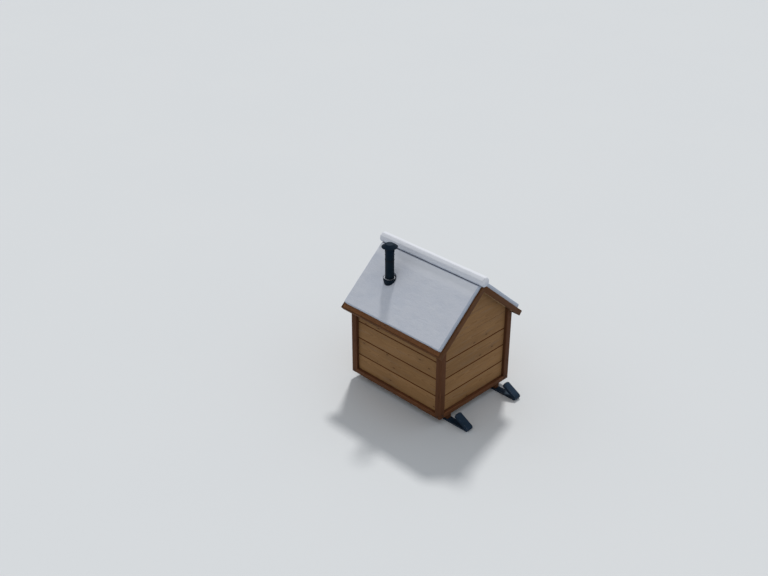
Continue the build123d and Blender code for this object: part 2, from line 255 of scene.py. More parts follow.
WALL_FACE_Y = corner("wall_plain_side", 1).y
WALL_BACK_Y = corner("wall_plain_side", 0).y
WALL_FACE_X = corner("wall_blank_end", 1).x
WALL_THICKNESS = WALL_FACE_Y - WALL_BACK_Y
SILL_TOP = corner("sill_plain_side", 1).z
BAY_X = corner("wall_plain_side", 1).x
BAY_Y = corner("wall_blank_end", 1).y
BEAM_HALF = corner("ridge_beam", 1).y
APEX = corner("ridge_beam", 0).z + BEAM_HALF * SLOPE_RISE
DECK_HALF = corner("roof_deck_plain_side", 1).x
ROOF_HALF = corner("barge_board_blank_end_plain_side", 1).x
DECK_TOP = (corner("roof_deck_plain_side", 1).z - APEX) * math.cos(ROOF_PITCH)
EAVE_Y = corner("eave_fascia_plain_side", 1).y
SLOPE_LENGTH = (EAVE_Y - DECK_TOP * math.sin(ROOF_PITCH)) / math.cos(ROOF_PITCH)
DECK_END = (corner("roof_deck_plain_side", 1).y - DECK_TOP * math.sin(ROOF_PITCH)) / math.cos(ROOF_PITCH)
SNOW_HALF = corner("snow_blanket_plain_side", 1).x
ROLL_HALF = corner("snow_ridge_roll", 1).x
ROLL_RADIUS = corner("snow_ridge_roll", 1).y
ROLL_AXIS = corner("snow_ridge_roll", 1).z - ROLL_RADIUS
FLUE = (corner("flue_pipe", 0) + corner("flue_pipe", 1)) / 2
FLUE_TOP = corner("flue_pipe", 1).z
FLUE_BOTTOM = corner("flue_pipe", 0).z
COLLAR_TOP = corner("flue_collar", 1).z
CAP_TOP = corner("rain_cap", 1).z


def share_of(part, whole):
    """How much of the whole a part is, kept between 0 and 1."""
    return min(max(part / whole, 0.0), 1.0)


def circle(count):
    """Angles all the way round."""
    return [2 * math.pi * k / count for k in range(count)]


def arc(start, end, steps):
    """Angles from start to end, both included."""
    return [start + (end - start) * k / steps for k in range(steps + 1)]


def beside_flue(radius, angle, z):
    """The point at a radius and an angle about the flue's axis."""
    return Vector((FLUE.x + radius * math.cos(angle), FLUE.y + radius * math.sin(angle), z))


def math_operator(operation, swapped=False):
    """An operator for Wire that adds a Math node. The reflected ones have their two sides swapped."""
    def add_node(self, other):
        sides = (other, self) if swapped else (self, other)
        return self.finish.maths(operation, *sides)
    return add_node


class Wire:
    """A shader socket that can be used in Python sums: each operator adds its Math node."""

    def __init__(self, finish, socket):
        self.finish = finish
        self.socket = socket

    def side(self, output):
        """Another output of the same node."""
        return Wire(self.finish, self.socket.node.outputs[output])

    __add__, __radd__ = math_operator("ADD"), math_operator("ADD", swapped=True)
    __sub__, __rsub__ = math_operator("SUBTRACT"), math_operator("SUBTRACT", swapped=True)
    __mul__, __rmul__ = math_operator("MULTIPLY"), math_operator("MULTIPLY", swapped=True)
    __truediv__, __rtruediv__ = math_operator("DIVIDE"), math_operator("DIVIDE", swapped=True)
    __pow__, __rpow__ = math_operator("POWER"), math_operator("POWER", swapped=True)
    __gt__, __lt__ = math_operator("GREATER_THAN"), math_operator("LESS_THAN")


class Finish:
    """One material, and the ways to add nodes to it."""

    def __init__(self, name):
        self.material = bpy.data.materials.new(name)
        self.material.use_nodes = True
        self.tree = self.material.node_tree
        self.tree.nodes.clear()

    def node(self, kind, settings=None, sockets=None, output=0):
        """Adds a node, makes its settings, then fills its sockets with values or wires."""
        made = self.tree.nodes.new("ShaderNode" + kind)
        for key, value in (settings or {}).items():
            setattr(made, key, value)
        for key, value in (sockets or {}).items():
            if isinstance(value, Wire):
                self.tree.links.new(value.socket, made.inputs[key])
            else:
                made.inputs[key].default_value = value
        return Wire(self, made.outputs[output])

    def maths(self, operation, *values):
        return self.node("Math", {"operation": operation}, dict(enumerate(values)))

    def clamped(self, value):
        return self.node("Clamp", {}, {"Value": value})

    def fade(self, value, start, end):
        """0 where the value is at start and 1 at end, smoothly between."""
        settings = {"interpolation_type": "SMOOTHSTEP"}
        return self.node("MapRange", settings, {"Value": value, "From Min": start, "From Max": end})

    def vector(self, x, y, z):
        return self.node("CombineXYZ", {}, {"X": x, "Y": y, "Z": z})

    def parts(self, vector):
        x = self.node("SeparateXYZ", {}, {"Vector": vector})
        return x, x.side("Y"), x.side("Z")

    def place(self):
        """The point on the surface in the hut's own metres."""
        return self.node("TexCoord", {}, {}, "Object")

    def mark(self, name, output="Fac"):
        return self.node("Attribute", {"attribute_name": name}, {}, output)

    def noise(self, vector, scale, detail=2.0, roughness=0.5, distortion=0.0):
        sockets = {"Vector": vector, "Scale": scale, "Detail": detail, "Roughness": roughness,
                   "Distortion": distortion}
        return self.node("TexNoise", {}, sockets)

    def drawn_out(self, parts, scales, detail=3.0, roughness=0.5, distortion=0.0):
        """Noise with a scale of its own along each axis."""
        vector = self.vector(*(part * scale for part, scale in zip(parts, scales)))
        return self.noise(vector, 1.0, detail, roughness, distortion)

    def mix(self, share, first, second):
        """A blend of two colours. A colour is a wire or its red, green and blue."""
        sockets = {0: share, 6: self.colour(first), 7: self.colour(second)}
        return self.node("Mix", {"data_type": "RGBA"}, sockets, 2)

    def colour(self, value):
        return value if isinstance(value, Wire) else (*value, 1.0)

    def scaled(self, colour, amount):
        return self.node("VectorMath", {"operation": "SCALE"}, {0: colour, "Scale": amount})

    def bump(self, height, distance, strength):
        return self.node("Bump", {}, {"Height": height, "Distance": distance, "Strength": strength})

    def surface(self, **sockets):
        """The finished surface, from the shader's sockets with their spaces written as underscores."""
        named = {key.replace("_", " "): value for key, value in sockets.items()}
        if "Base Color" in named:
            named["Base Color"] = self.colour(named["Base Color"])
        shader = self.node("BsdfPrincipled", {}, named)
        end = self.tree.nodes.new("ShaderNodeOutputMaterial")
        self.tree.links.new(shader.socket, end.inputs["Surface"])
        return self.material


# Finishes


def knots_in(f, grain, knots):
    """Where knots sit in the wood, and the swirl of the grain round them."""
    run, across, depth = grain
    vector = f.vector(run * 1.7, across * 4.4 + depth * 4.4, 0.0)
    cell = f.node("TexVoronoi", {"voronoi_dimensions": "2D"}, {"Vector": vector, "Scale": 1.0}, "Distance")
    chosen = f.parts(cell.side("Color"))[0] > 0.52
    return f.fade(cell, 0.062, 0.040) * chosen * knots, f.fade(cell, 0.30, 0.03) * chosen * knots


def late_wood_in(f, grain, swirl):
    """The dark late wood of the growth rings, about a pith that wanders a little way behind the face."""
    run, across, depth = grain
    flow = f.drawn_out(grain, (0.9, 2.2, 2.2), 2.0, 0.55)
    pith = depth + 0.07 + (flow - 0.5) * 0.16
    ring = (across * across + pith * pith) ** 0.5 / RING_PITCH + swirl * 1.6
    ring = ring + (f.drawn_out(grain, (5, 30, 30)) - 0.5) * 0.55
    return f.maths("FRACT", ring) ** 2.4


def silvered(f, grain, colour, body, silver):
    """Grey streaks where the weather has drawn the stain out."""
    streak = f.drawn_out(grain, (1.3, 16, 16), 4.0, 0.62)
    grey = sum(body) / 3
    return f.mix(f.fade(streak, 0.50, 0.80) * silver, colour, (grey * 1.22, grey * 1.15, grey * 1.05))


def damp_at_foot(f, colour, late, base_damp):
    """A darker foot, where damp rises unevenly from the snow."""
    place = f.parts(f.place())
    rising = f.drawn_out(place, (5, 5, 0))
    return f.mix(f.fade(place[2] - rising * 0.22, 0.40, 0.14) * base_damp, colour, late)


def timber(name, body, ring_strength=0.55, gloss=0.68, silver=0.0, knots=1.0, base_damp=0.0):
    """Stained softwood: growth rings, fibres, knots, drying cracks and worn arrises.

    The pale and late wood, the knots and the worn arrises are worked out from the middle tone."""
    f = Finish(name)
    red, green, blue = body
    pale = (red * 1.28, green * 1.30, blue * 1.34)
    late = (red * 0.62, green * 0.56, blue * 0.52)
    knot_colour = (late[0] * 0.55, late[1] * 0.5, late[2] * 0.5)
    joint_dirt_and_shade_colour = (late[0] * 0.75, late[1] * 0.42, late[2] * 0.06)
    worn_colour = (red * 2.1 + 0.02, green * 2.2 + 0.014, blue * 2.3 + 0.008)

    grain = f.parts(f.mark("grain_run", "Vector"))
    tone = f.mark("tone")
    knot, swirl = knots_in(f, grain, knots)
    late_wood = late_wood_in(f, grain, swirl)
    fibre = f.drawn_out(grain, (7, 210, 210), roughness=0.6)
    broad = f.drawn_out(grain, (0.7, 3.5, 3.5), roughness=0.6)
    colour = f.mix(f.fade(broad + (fibre - 0.5) * 0.7, 0.28, 0.72), body, pale)
    colour = f.mix(late_wood * ring_strength, colour, late)
    colour = f.mix(f.clamped(knot * 0.85), colour, knot_colour)
    colour = f.mix(swirl * 0.22 * (1 - knot), colour, late)
    if silver:
        colour = silvered(f, grain, colour, body, silver)
    if base_damp:
        colour = damp_at_foot(f, colour, late, base_damp)
    rub = f.drawn_out(grain, (2.6, 9, 9), roughness=0.6)
    worn_edge = f.mark("worn") * f.fade(rub + fibre * 0.35, 0.60, 0.98)
    colour = f.mix(f.clamped(worn_edge), colour, worn_colour)
    crack = f.fade(f.drawn_out(grain, (1.4, 34, 34), 2.0, 0.4, 0.4), 0.735, 0.79)
    colour = f.scaled(f.mix(crack * 0.8, colour, knot_colour), tone)
    # Where the tone is low, in the joints, the colour goes to the joint's dark: dirt and painted shade
    colour = f.mix(f.fade(tone, 0.8, 0.3), colour, joint_dirt_and_shade_colour)
    height = fibre * 0.35 + late_wood * 0.35 - knot * 0.3 - crack * 1.6
    rough = gloss + (fibre - 0.5) * 0.12 + late_wood * 0.05
    return f.surface(Base_Color=colour, Roughness=f.clamped(rough), Normal=f.bump(height, 0.0011, 0.8),
                     Specular_IOR_Level=0.13)


def packed_snow():
    """Old packed snow: a fine grain, soft wind ripples and painted bluish shade in the hollows of its bump.

    A tone of 0 gives darker, bluer snow and a tone of 2 whiter snow; low tones are icy snow and painted
    shade, high tones whiter snow and painted light."""
    f = Finish("packed_snow")
    place = f.place()
    tone = f.mark("tone")
    drift = f.noise(place, 2.1, 3.0, 0.5)
    ripple = f.drawn_out(f.parts(place), (5, 12, 12), distortion=0.6)
    crust = f.noise(place, 46.0, 4.0, 0.62)
    grain = f.noise(place, 310.0, 2.0, 0.7)
    bright = f.fade(drift * 0.5 + ripple * 0.3 + crust * 0.35, 0.40, 0.72)
    colour = f.mix(bright, (0.612, 0.650, 0.738), (0.676, 0.704, 0.776))
    colour = f.mix(f.clamped(1 - tone), colour, (0.50, 0.56, 0.665))
    colour = f.mix(f.clamped(tone - 1), colour, (0.800, 0.824, 0.888))
    # Painted shade: bluer where the bump is low
    hollow_shade = f.fade(crust * 0.6 + grain * 0.4, 0.36, 0.30)
    colour = f.mix(hollow_shade * 0.25, colour, (0.47, 0.525, 0.63))
    height = drift * 1.6 + ripple * 0.9 + crust * 0.7 + grain * 0.30
    rough = 0.93 - f.fade(grain, 0.68, 0.80) * 0.5
    return f.surface(Base_Color=colour, Roughness=rough, Normal=f.bump(height, 0.0055, 0.75),
                     Specular_IOR_Level=0.25)


def flue_steel():
    """Matt black stove enamel, bluer with soot near the top and rusting a little where it is worn."""
    f = Finish("flue_steel")
    place = f.place()
    height_above = f.parts(place)[2]
    cloud = f.noise(place, 7.0, 4.0, 0.6)
    speck = f.noise(place, 160.0, 3.0, 0.6)
    streak = f.drawn_out(f.parts(place), (60, 60, 3), roughness=0.6)
    mottle = f.fade(cloud * 0.6 + streak * 0.4, 0.38, 0.66)
    colour = f.mix(mottle, (0.0030, 0.0058, 0.0095), (0.0062, 0.0112, 0.0170))
    soot = f.fade(height_above + cloud * 0.10, FLUE_TOP - 0.22, FLUE_TOP)
    colour = f.mix(soot * 0.8, colour, (0.0036, 0.0088, 0.0185))
    rust = f.fade(f.mark("worn") * 0.5 + speck * 0.5 + cloud * 0.2, 0.66, 0.84)
    colour = f.mix(rust * 0.3, colour, (0.036, 0.018, 0.011))
    rough = 0.52 + cloud * 0.22 + rust * 0.2
    return f.surface(Base_Color=colour, Roughness=f.clamped(rough),
                     Normal=f.bump(speck * 0.4 + cloud * 0.6, 0.0007, 0.6),
                     Specular_IOR_Level=0.20, Specular_Tint=(0.28, 0.62, 1.0, 1.0))


def runner_steel():
    """Blue-black paint, scraped to bright steel along the sole and thinly at the arrises."""
    f = Finish("runner_steel")
    place = f.place()
    height_above = f.parts(place)[2]
    cloud = f.noise(place, 9.0, 4.0, 0.6)
    scratch = f.drawn_out(f.parts(place), (6, 190, 60), roughness=0.65)
    chip = f.noise(place, 70.0, 4.0, 0.65)
    paint = f.mix(f.fade(cloud, 0.35, 0.68), (0.0070, 0.0180, 0.0370), (0.0140, 0.0290, 0.0570))
    scraped = f.fade(height_above + (scratch - 0.5) * 0.020, 0.009, 0.002)
    chipped = f.fade(f.mark("worn") * 0.42 + chip * 0.5 + scratch * 0.15, 0.745, 0.84)
    bare = f.clamped(scraped + chipped)
    scuff = f.fade(scratch, 0.65, 0.78) * 0.25
    steel = f.mix(cloud, (0.16, 0.165, 0.175), (0.30, 0.305, 0.31))
    colour = f.mix(scuff, paint, (0.065, 0.080, 0.100))
    colour = f.mix(bare, colour, steel)
    rust = f.fade(chip * 0.6 + cloud * 0.5, 0.64, 0.76) * 0.5
    colour = f.mix(rust * (0.25 + bare * 0.5), colour, (0.10, 0.042, 0.018))
    rough = 0.50 + cloud * 0.18 - bare * 0.16
    return f.surface(Base_Color=colour, Metallic=bare * 0.8, Roughness=f.clamped(rough),
                     Normal=f.bump(chip * 0.3 + scratch * 0.5 - bare * 0.3, 0.0006, 0.6),
                     Specular_IOR_Level=0.30, Specular_Tint=(0.50, 0.76, 1.0, 1.0))


def black_iron():
    """Hammered black iron with a little rust in its hollows."""
    f = Finish("black_iron")
    place = f.place()
    hammer = f.node("TexVoronoi", {"feature": "SMOOTH_F1"}, {"Vector": place, "Scale": 85.0}, "Distance")
    cloud = f.noise(place, 30.0, 4.0, 0.6)
    colour = f.mix(f.fade(cloud, 0.35, 0.7), (0.014, 0.014, 0.016), (0.034, 0.033, 0.034))
    rust = f.fade(cloud * 0.7 + hammer * 0.5, 0.58, 0.80)
    colour = f.mix(rust * 0.6, colour, (0.085, 0.036, 0.017))
    return f.surface(Base_Color=colour, Roughness=0.50 + cloud * 0.25, Metallic=0.35,
                     Normal=f.bump(hammer + cloud * 0.3, 0.0009, 0.6))


def pale_floor():
    """The plain pale floor that the hut stands on for its picture."""
    f = Finish("pale_floor")
    cloud = f.noise(f.place(), 0.25, 2.0)
    return f.surface(Base_Color=f.mix(cloud, (0.74, 0.77, 0.80), (0.76, 0.785, 0.81)), Roughness=0.9,
                     Specular_IOR_Level=0.1)


DARK_STAIN = (0.095, 0.037, 0.0150)

FINISHES = {
    "wall_boards": timber("wall_boards", (0.242, 0.132, 0.054), silver=0.3),
    "frame_timber": timber("frame_timber", DARK_STAIN, ring_strength=0.45, silver=0.15, knots=0.6,
                           base_damp=0.1),
    "roof_edge_timber": timber("roof_edge_timber", (0.098, 0.0415, 0.0160), ring_strength=0.45, silver=0.12,
                               knots=0.6),
    "sawn_timber": timber("sawn_timber", (0.300, 0.190, 0.100), gloss=0.8, silver=0.2),
    "door_boards": timber("door_boards", (0.212, 0.108, 0.043), silver=0.3, base_damp=0.3),
    "door_trim": timber("door_trim", DARK_STAIN, ring_strength=0.45, silver=0.15, knots=0.5),
    "packed_snow": packed_snow(),
    "flue_steel": flue_steel(),
    "runner_steel": runner_steel(),
    "black_ironwork": black_iron(),
}


# Making meshes


class Shape:
    """A mesh in the making, with the marks that the finishes read: the run of the grain, tone and wear.

    A tone of 1 is the finish's own lightness."""

    def __init__(self, name, slot=None):
        self.name = name
        self.slot = slot
        self.bm = bmesh.new()
        self.grain = self.bm.verts.layers.float_vector.new("grain_run")
        self.tone = self.bm.verts.layers.float.new("tone")
        self.worn = self.bm.faces.layers.float.new("worn")
        self.chance = random.Random(name)

    def point(self, at, grain=(0, 0, 0), tone=1.0):
        vert = self.bm.verts.new(Vector(at) + HUT_MIDDLE)
        vert[self.grain] = Vector(grain)
        vert[self.tone] = tone
        return vert

    def loft(self, rings, closed_round=True, caps=True):
        """Joins rings of points into a skin, with its two ends closed."""
        for first, second in zip(rings, rings[1:]):
            count = len(first)
            for j in range(count if closed_round else count - 1):
                k = (j + 1) % count
                self.bm.faces.new((first[j], first[k], second[k], second[j]))
        if caps:
            self.bm.faces.new(rings[0])
            self.bm.faces.new(rings[-1])

    def skin(self, rings):
        """Joins rings of plain places, without marks of their own, into a closed skin."""
        self.loft([[self.point(at) for at in ring] for ring in rings])

    def stick(self, outline, start, end, steps, place, tone=1.0, dirty_and_shaded=False):
        """Runs a closed outline of (across, depth) from start to end through place(run, across, depth).

        A dirty and shaded stick is dark a little way in from its face: dirt held in its joints, and painted
        shade in them."""
        shift = Vector([self.chance.uniform(-9, 9), self.chance.uniform(-0.06, 0.06), 0.0])
        tone *= self.chance.uniform(0.95, 1.05)
        middle = sum(a for a, d in outline) / len(outline)
        rings = []
        for i in range(steps + 1):
            run = start + (end - start) * i / steps
            ring = []
            for a, d in outline:
                dark = dirty_and_shaded and DIRT_AND_SHADE_START < d < DIRT_AND_SHADE_END
                grain = Vector((run, a - middle, d)) + shift
                ring.append(self.point(place(run, a, d), grain, DIRT_AND_SHADE_TONE if dark else tone))
            rings.append(ring)
        self.loft(rings)

    def mesh(self):
        bmesh.ops.recalc_face_normals(self.bm, faces=self.bm.faces)
        mesh = bpy.data.meshes.new(self.name)
        self.bm.to_mesh(mesh)
        self.bm.free()
        return mesh

    def piece(self, replaced=(), crease=32.0):
        """The finished piece, riding on the hut and standing for the nodes it replaces."""
        mesh = self.mesh()
        mesh.materials.append(FINISHES[self.slot])
        mesh.shade_smooth()
        mesh.set_sharp_from_angle(angle=math.radians(crease))
        made = bpy.data.objects.new(self.name, mesh)
        bpy.context.scene.collection.objects.link(made)
        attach(made, "root")
        if replaced:
            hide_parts(*replaced)
        return made


def eased(corners, steps=3):
    """A closed outline from (across, depth, radius) corners, each rounded to its radius."""
    outline = []
    for i, (a, d, radius) in enumerate(corners):
        here = Vector((a, d))
        if not radius:
            outline.append((a, d))
            continue
        before = (Vector(corners[i - 1][:2]) - here).normalized()
        after = (Vector(corners[(i + 1) % len(corners)][:2]) - here).normalized()
        half = before.angle(after) / 2
        centre = here + (before + after).normalized() * radius / math.sin(half)
        first = here + before * radius / math.tan(half)
        last = here + after * radius / math.tan(half)
        for k in range(steps + 1):
            spoke = (first.lerp(last, k / steps) - centre).normalized()
            outline.append(tuple(centre + spoke * radius))
    return outline


def plank(low, high, thickness, arris):
    """A plain board's outline between two edges, with its two front arrises eased."""
    return eased([(low, thickness, 0), (low, 0, arris), (high, 0, arris), (high, thickness, 0)])


def spread(outline, pitch):
    """Adds points along the outline's front, where the depth is 0, at most pitch apart."""
    fuller = []
    for i, (a, d) in enumerate(outline):
        fuller.append((a, d))
        next_a, next_d = outline[(i + 1) % len(outline)]
        if abs(d) < 1e-6 and abs(next_d) < 1e-6:
            count = int(abs(next_a - a) / pitch)
            fuller += [(a + (next_a - a) * k / (count + 1), 0.0) for k in range(1, count + 1)]
    return fuller


def clip(shape, point, normal):
    """Cuts away what lies beyond a plane and closes the cut."""
    bm = shape.bm
    geometry = bm.verts[:] + bm.edges[:] + bm.faces[:]
    cut = bmesh.ops.bisect_plane(bm, geom=geometry, dist=1e-6, plane_co=point + HUT_MIDDLE, plane_no=normal,
                                 clear_outer=True)
    edges = [e for e in cut["geom_cut"] if isinstance(e, bmesh.types.BMEdge) and e.is_boundary]
    bmesh.ops.holes_fill(bm, edges=edges, sides=0)


def marked_like(cut, old):
    """Gives the new points of a cut mesh, which have no marks, those of the old surface beside them."""
    points = [vert.co for vert in old.vertices]
    surface = BVHTree.FromPolygons(points, [face.vertices for face in old.polygons])
    tone, grain = cut.attributes["tone"].data, cut.attributes["grain_run"].data
    old_tone, old_grain = old.attributes["tone"].data, old.attributes["grain_run"].data
    for vert in cut.vertices:
        if tone[vert.index].value == 0:
            at, normal, nearest, distance = surface.find_nearest(vert.co)
            corners = old.polygons[nearest].vertices
            shares = poly_3d_calc([points[k] for k in corners], at)
            tone[vert.index].value = sum(share * old_tone[k].value for share, k in zip(shares, corners))
            blend = sum((share * old_grain[k].vector for share, k in zip(shares, corners)), Vector())
            grain[vert.index].vector = blend


def bored(made, cutter, keep_marks=True):
    """Cuts a closed shape out of a piece. Without keep_marks the cut edges have a tone of 0."""
    tool = bpy.data.objects.new(cutter.name, cutter.mesh())
    bpy.context.scene.collection.objects.link(tool)
    boolean = made.modifiers.new("bore", "BOOLEAN")
    boolean.object = tool
    boolean.solver = "EXACT"
    bpy.context.view_layer.update()
    evaluated = made.evaluated_get(bpy.context.evaluated_depsgraph_get())
    cut = bpy.data.meshes.new_from_object(evaluated)
    made.modifiers.clear()
    old = made.data
    if keep_marks:
        marked_like(cut, old)
    made.data = cut
    bpy.data.meshes.remove(old)
    bpy.data.objects.remove(tool)


def prism(outline, start, end):
    """A closed block to cut with: an outline of (y, z) run along the ridge from start to end."""
    cutter = Shape("block")
    cutter.skin([[(x, y, z) for y, z in outline] for x in (start, end)])
    return cutter


def crate(low, high):
    """A closed box to cut with."""
    outline = [(low[1], low[2]), (high[1], low[2]), (high[1], high[2]), (low[1], high[2])]
    return prism(outline, low[0], high[0])


def drum(profile):
    """A closed round form about the flue's axis to cut with, from its (radius, height) outline."""
    cutter = Shape("drum")
    turned(cutter, [(0.0, profile[0][1]), *profile, (0.0, profile[-1][1])], FLUE)
    return cutter


def islands(bm):
    """The separate lumps of a mesh, as lists of points."""
    left = set(bm.verts)
    while left:
        lump = [left.pop()]
        for vert in lump:
            for edge in vert.link_edges:
                other = edge.other_vert(vert)
                if other in left:
                    left.remove(other)
                    lump.append(other)
        yield lump


def carved(node, grain, arris, tone=1.0, segments=2, trim=None):
    """A timber or bar with its CAD shape, its arrises eased and its grain marked along a direction.

    trim is a function that may rework the bare shape first."""
    slot = SLOT_OF[node]
    shape = Shape("dressed_" + node, slot)
    bm = shape.bm
    bm.from_mesh(frame["nodes"][node].data)
    bmesh.ops.remove_doubles(bm, verts=bm.verts, dist=2e-5)
    bmesh.ops.dissolve_limit(bm, angle_limit=math.radians(1.5), verts=bm.verts, edges=bm.edges)
    if trim:
        trim(bm)
    sharp = [e for e in bm.edges if e.is_manifold and e.calc_face_angle() > math.radians(30)]
    eased_faces = bmesh.ops.bevel(bm, geom=sharp, offset=arris, offset_type="OFFSET", segments=segments,
                                  profile=0.5, affect="EDGES", clamp_overlap=True)["faces"]
    for face in eased_faces:
        face[shape.worn] = 1.0
    along = Vector(grain).normalized()
    sideways = along.cross(Vector((0, 0, 1)) if abs(along.z) < 0.9 else Vector((1, 0, 0))).normalized()
    upwards = along.cross(sideways)
    for lump in islands(bm):
        middle = sum((vert.co for vert in lump), Vector()) / len(lump)
        shift = Vector([shape.chance.uniform(-9, 9), shape.chance.uniform(-0.03, 0.03), 0.0])
        lump_tone = tone * shape.chance.uniform(0.96, 1.04)
        for vert in lump:
            at = vert.co - middle
            vert[shape.grain] = Vector((at.dot(along), at.dot(sideways), at.dot(upwards))) + shift
            vert[shape.tone] = lump_tone
    shape.piece([node])


# Walls


def board_outline(low, high, open_low, open_high):
    """A wide board's section: z across and depth from its face, tongued above and grooved below.

    open_low and open_high are the width and depth of the open joints under and over it, or None
    where the board ends against a timber."""
    corners = []
    tongue_back = JOINT_DEPTH + TONGUE_THICKNESS
    if open_low:
        width, depth = open_low
        under = low - width / 2 + TONGUE_SLACK
        groove_top = low + TONGUE_REACH + 2 * TONGUE_SLACK
        corners += [(under, WALL_THICKNESS, 0), (under, tongue_back + TONGUE_SLACK, 0),
                    (groove_top, tongue_back + TONGUE_SLACK, 0), (groove_top, depth, 0),
                    (low + width / 2, depth, 0), (low + width / 2, 0, min(BOARD_ARRIS, width))]
    else:
        corners += [(low, WALL_THICKNESS, 0), (low, 0, BOARD_ARRIS)]
    if open_high:
        width, depth = open_high
        shoulder = high - width / 2
        tongue_top = high + TONGUE_REACH
        corners += [(shoulder, 0, min(BOARD_ARRIS, width)), (shoulder, depth + TONGUE_SLACK, 0),
                    (tongue_top, depth + TONGUE_SLACK, 0), (tongue_top, tongue_back, 0),
                    (shoulder, tongue_back, 0), (shoulder, WALL_THICKNESS, 0)]
    else:
        corners += [(high, 0, BOARD_ARRIS), (high, WALL_THICKNESS, 0)]
    return spread(eased(corners), BOARD_POINT_PITCH)


def wall_boards(name, nodes, levels, joints, half, place, tops=()):
    """A wall of wide boards from the sill up, between two timbers half a bay away."""
    shape = Shape(name, "wall_boards")
    for i, (low, high) in enumerate(zip(levels, levels[1:])):
        open_low = joints[i - 1] if i else None
        open_high = joints[i] if i < len(joints) else None
        outline = board_outline(low, high, open_low, open_high)
        cup = shape.chance.uniform(0.0004, 0.0014)
        seed = shape.chance.uniform(0, 50)

        def bent(run, a, d):
            face = 1 - min(d / 0.02, 1)
            edge = (2 * (a - low) / (high - low) - 1) ** 2
            wave = noise.noise(Vector((run * 2.1, a * 3.0, seed))) * 0.0012
            return place(run, a, d + face * (cup * edge - wave))

        # The lowest boards take painted light, against the shade at the wall's foot
        tone = LOW_BOARD_PAINTED_LIGHT[i] if i < len(LOW_BOARD_PAINTED_LIGHT) else 1.0
        start, end = -half + BOARD_END_GAP, half - BOARD_END_GAP
        shape.stick(outline, start, end, BOARD_STEPS, bent, tone, dirty_and_shaded=True)
    for point, normal in tops:
        clip(shape, point, normal)
    return shape.piece(nodes)


def side_walls():
    levels = (SILL_TOP, *BOARD_JOINTS, corner("wall_plain_side", 1).z)
    joints = [(JOINT_WIDTH, JOINT_DEPTH)] * len(BOARD_JOINTS)
    for side_name, side in SIDES.items():
        def place(run, a, d, side=side):
            return Vector((run, side * (WALL_FACE_Y - d), a))
        wall_boards("boards_" + side_name, ["wall_" + side_name], levels, joints, BAY_X, place)


def gable_tops():
    """The two roof slopes and the ridge beam's underside, which an end wall's boards are cut to."""
    clearance = 0.0005
    tops = [(Vector((0, 0, APEX - BEAM_HALF * SLOPE_RISE - clearance)), Vector((0, 0, 1)))]
    for side in SIDES.values():
        normal = Vector((0, side * math.sin(ROOF_PITCH), math.cos(ROOF_PITCH)))
        tops.append((Vector((0, 0, APEX)) - normal * clearance, normal))
    return tops


def end_walls():
    levels = (SILL_TOP, *BOARD_JOINTS, *GABLE_SEAMS, APEX)
    joints = [(JOINT_WIDTH, JOINT_DEPTH)] * len(BOARD_JOINTS) + [(SEAM_WIDTH, SEAM_DEPTH)] * len(GABLE_SEAMS)
    nodes = {"door_end": ["wall_door_end_flue_side", "wall_door_end_plain_side", "wall_over_door"],
             "blank_end": ["wall_blank_end"]}
    for end_name, end in ENDS.items():
        def place(run, a, d, end=end):
            return Vector((end * (WALL_FACE_X - d), run, a))
        wall = wall_boards("boards_" + end_name, nodes[end_name], levels, joints, BAY_Y, place, gable_tops())
        if end_name == "door_end":
            low, high = corner("wall_over_door", 0), corner("wall_over_door", 1)
            bored(wall, crate((low.x - 0.1, low.y, SILL_TOP - 0.1), (high.x + 0.1, high.y, low.z)))


def boss(shape, at, out, sides, levels):
    """A small round form that stands out from a point, through its (radius, lift) levels."""
    turn = out.to_track_quat("Z", "Y")
    rings = []
    for radius, lift in levels:
        spokes = [Vector((radius * math.cos(t), radius * math.sin(t), lift)) for t in circle(sides)]
        rings.append([at + turn @ spoke for spoke in spokes])
    shape.skin(rings)


def nail_row(points, shape, outward, radius=NAIL_RADIUS, rise=NAIL_RISE):
    """Low domed nail heads, each set on its point and facing outward."""
    for point in points:
        levels = ((radius, -0.0008), (radius, rise * 0.45), (radius * 0.62, rise))
        boss(shape, point, outward, NAIL_SIDES, levels)


def hexagon_bolt(shape, at, out, radius):
    """A washer and a six-sided bolt head."""
    washer = (24, radius * 1.25, -0.0005, WASHER_HEIGHT)
    head = (6, radius, WASHER_HEIGHT, WASHER_HEIGHT + BOLT_HEIGHT)
    for sides, reach, low, high in (washer, head):
        chamfer = min(reach * 0.15, (high - low) * 0.3)
        boss(shape, at, out, sides, ((reach, low), (reach, high - chamfer), (reach - chamfer, high)))


def studs(half):
    """Where the posts and studs behind a wall are nailed, across a bay of this half width."""
    return (-half + NAIL_FROM_POST, -half / 2, 0.0, half / 2, half - NAIL_FROM_POST)


